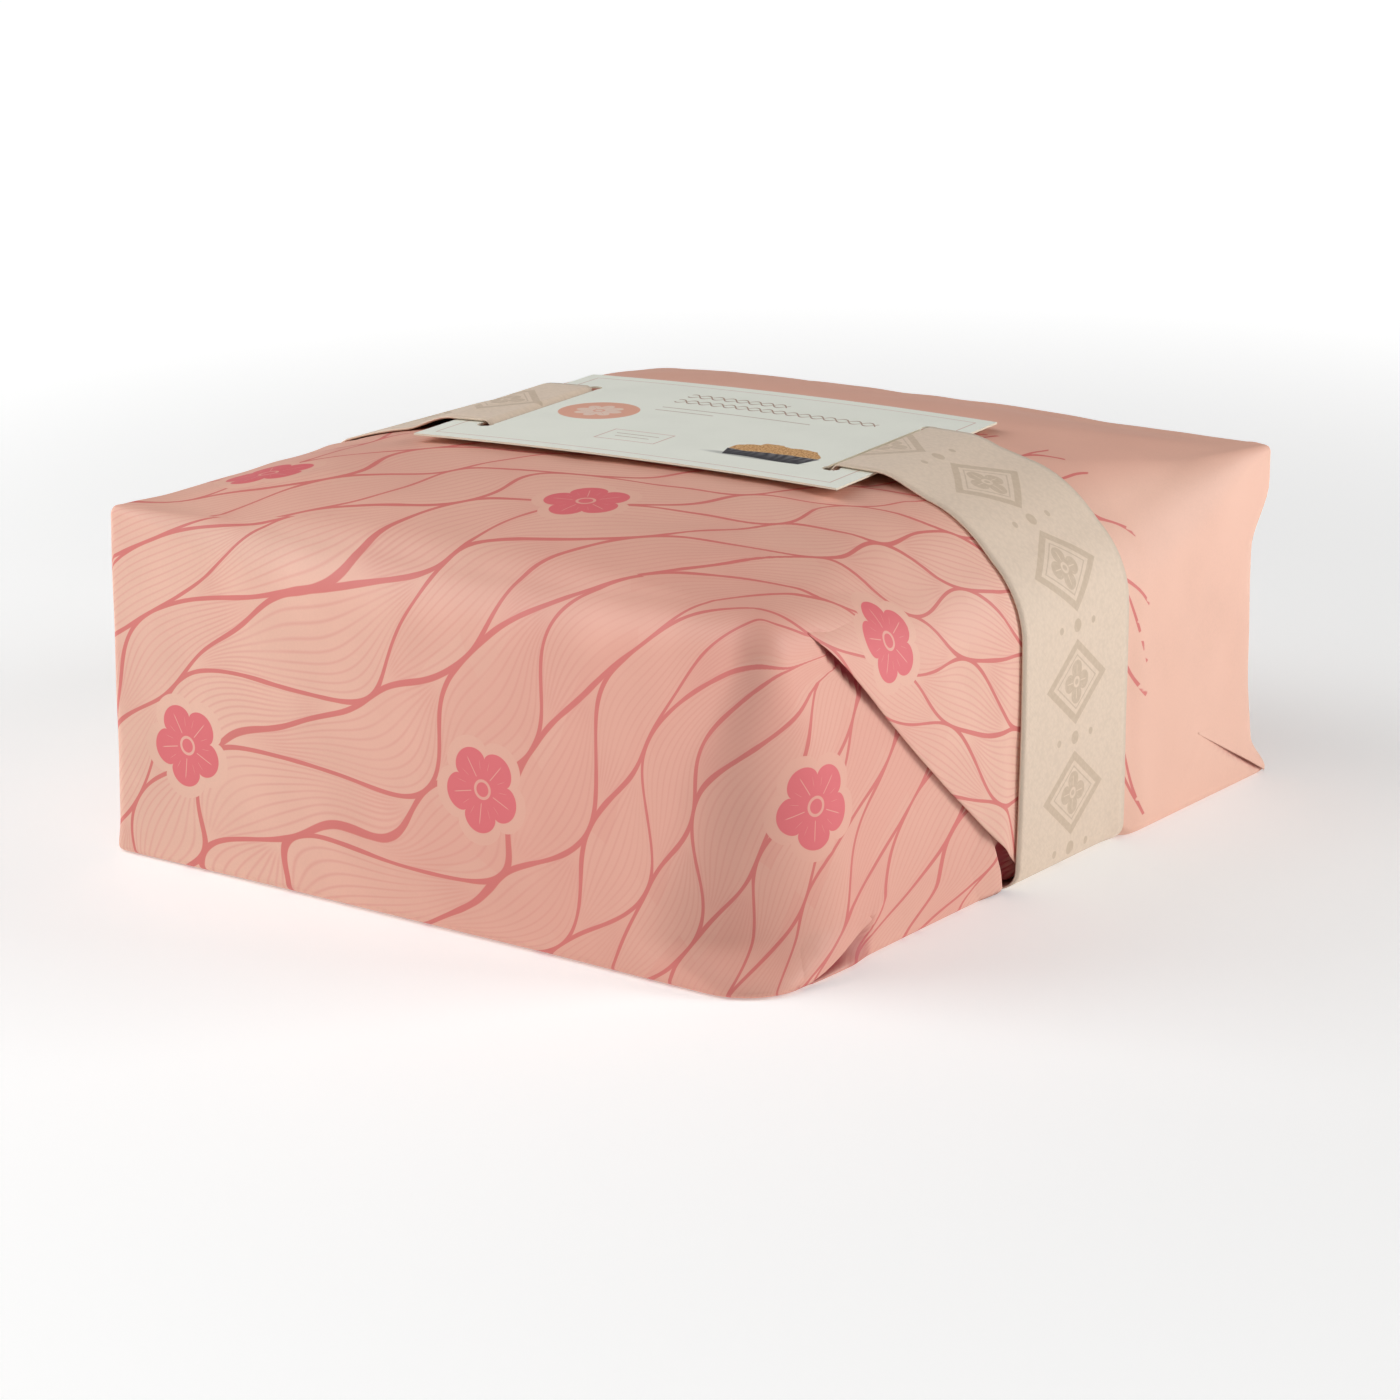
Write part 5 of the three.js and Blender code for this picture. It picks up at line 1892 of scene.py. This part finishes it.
def with_loaf(tree, flat, x, y, colour):
    """Adds a loaf with a domed, sugared crust in its pleated case, and the case's soft shadow."""
    x, y = x - CARD_LOAF[0], y - CARD_LOAF[1]
    wobble = (noise(tree, flat, 0.16, 2.0) - 0.5) * 7
    rim = y - (x / 6).math("SINE") * 0.9 - wobble * 0.3
    level = (y - 1 - wobble) / 9.5
    dome = ((x / LOAF_HALF) * (x / LOAF_HALF) + level * level - 1).falls(-0.02, 0.02)
    foot = y + (x / 4).math("SINE") * 0.5
    taper = x.math("ABSOLUTE") + y * -0.3 - LOAF_HALF - 0.4
    case = taper.falls(-0.1, 0.1) * foot.rises(-8.1, -7.9) * rim.falls(-0.2, 0.2)
    pleats = (x * 2.2 + wobble * 2).math("SINE") * 0.5 + 0.5
    case_tone = mix(tree, pleats * foot.rises(-8.0, 1.0), CASE_GREY, CASE_LIGHT)
    fall_x, fall_y = (x + 3) / (LOAF_HALF + 3), (y + 7) / 2.4
    shadow = (fall_x * fall_x + fall_y * fall_y).falls(0.3, 1.2)
    colour = mix(tree, shadow * 0.55, colour, CASE_LIGHT)
    colour = mix(tree, case, colour, case_tone)
    specks = noise(tree, flat, 1.3, 3.0, 0.8)
    baked = mix(tree, specks.rises(0.42, 0.56), CRUST, CRUST_LIGHT)
    baked = mix(tree, specks.rises(0.6, 0.66), baked, SUGAR)
    return mix(tree, dome * rim.rises(-0.2, 0.2), colour, baked)


print("motifs at", CARD_DISC[:2], CARD_PANEL[:2], CARD_LOAF)

# %% [markdown]
# The printed face is uncoated and matt. The sheet's sides, the walls of its slits and its underside
# are plain cream card. Two materials on one mesh say that simply, and the tree above has already
# chosen the faces.

# %% The card's finish
def make_card_finish():
    material, tree, _, tooth = new_finish("card_face", fineness=1600.0, mottle=40.0)
    flat = first_out(tree, "ShaderNodeUVMap", uv_map="card")
    x, y, _ = split(tree, flat)
    colour = mix(tree, tooth["Tone"].rises(0.4, 0.7), CARD_WHITE, dimmed(CARD_WHITE, 0.96))
    colour = mix(tree, box_at(tree, flat, 0.0, 0.0, *CARD_BORDER)["Outline"] * 0.7, colour, FINE_ROSE)
    colour = with_disc(tree, x, y, colour)
    colour = mix(tree, box_at(tree, flat, *CARD_PANEL)["Outline"] * 0.8, colour, FINE_ROSE)
    colour = with_chains(tree, flat, x, y, colour)
    colour = with_loaf(tree, flat, x, y, colour)
    roughness = 0.56 + tooth["Tone"] * 0.16
    settle(tree, colour, roughness, tooth["Height"], strength=0.3, bump_size=0.0002)
    return material


def make_core_finish():
    material, tree, _, tooth = new_finish("card_core", fineness=2200.0, mottle=90.0)
    colour = mix(tree, tooth["Tone"], CARD_CREAM, dimmed(CARD_CREAM, 0.88))
    roughness = 0.7 + tooth["Tone"] * 0.15
    settle(tree, colour, roughness, tooth["Height"], strength=0.4, bump_size=0.0002)
    return material


CARD_SIZES = {
    "Length": CARD_LENGTH, "Width": CARD_WIDTH, "Thickness": CARD_THICKNESS,
    "Slit Offset": SLIT_OFFSET, "Slit Width": SLIT_WIDTH, "Slit Length": SLIT_LENGTH,
    "Hole": SLIT_HOLE, "Low": CARD_LOW, "Bow": CARD_BOW, "Place X": CARD_X, "Place Y": CARD_Y,
}
card_values = {name: size * MM for name, size in CARD_SIZES.items()}
card_values |= {"Turn": TURN, "Face": make_card_finish(), "Core": make_core_finish()}
card = grow("card_sheet", CARD_TREE, card_values)
print("card_sheet", len(card.data.polygons), "faces, finishes", len(card.data.materials))

# %% [markdown]
# ## Handing the pieces over
#
# Every piece rides on the pack's one body, and the solid that it dresses is hidden. The box of the
# dressed model is measured and printed beside the box of the solids.

# %% Hand over
DRESSES = {
    "wrapped_pack": ("wrapping_paper", [paper, *flaps, *tucks, *underneath]),
    "ribbon": ("ribbon_cloth", [ribbon, selvedge]),
    "card": ("card_stock", [card]),
}
for node, (slot, pieces) in DRESSES.items():
    for piece in pieces:
        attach(piece, "root")
        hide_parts(node)

dressed_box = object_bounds()
boxes = {"cad": [list(map(float, corner)) for corner in MODEL_BOX]}
boxes["visual"] = [list(map(float, corner)) for corner in dressed_box]
for name, box in boxes.items():
    print(name, "box in mm", [[round(value / MM, 2) for value in corner] for corner in box])
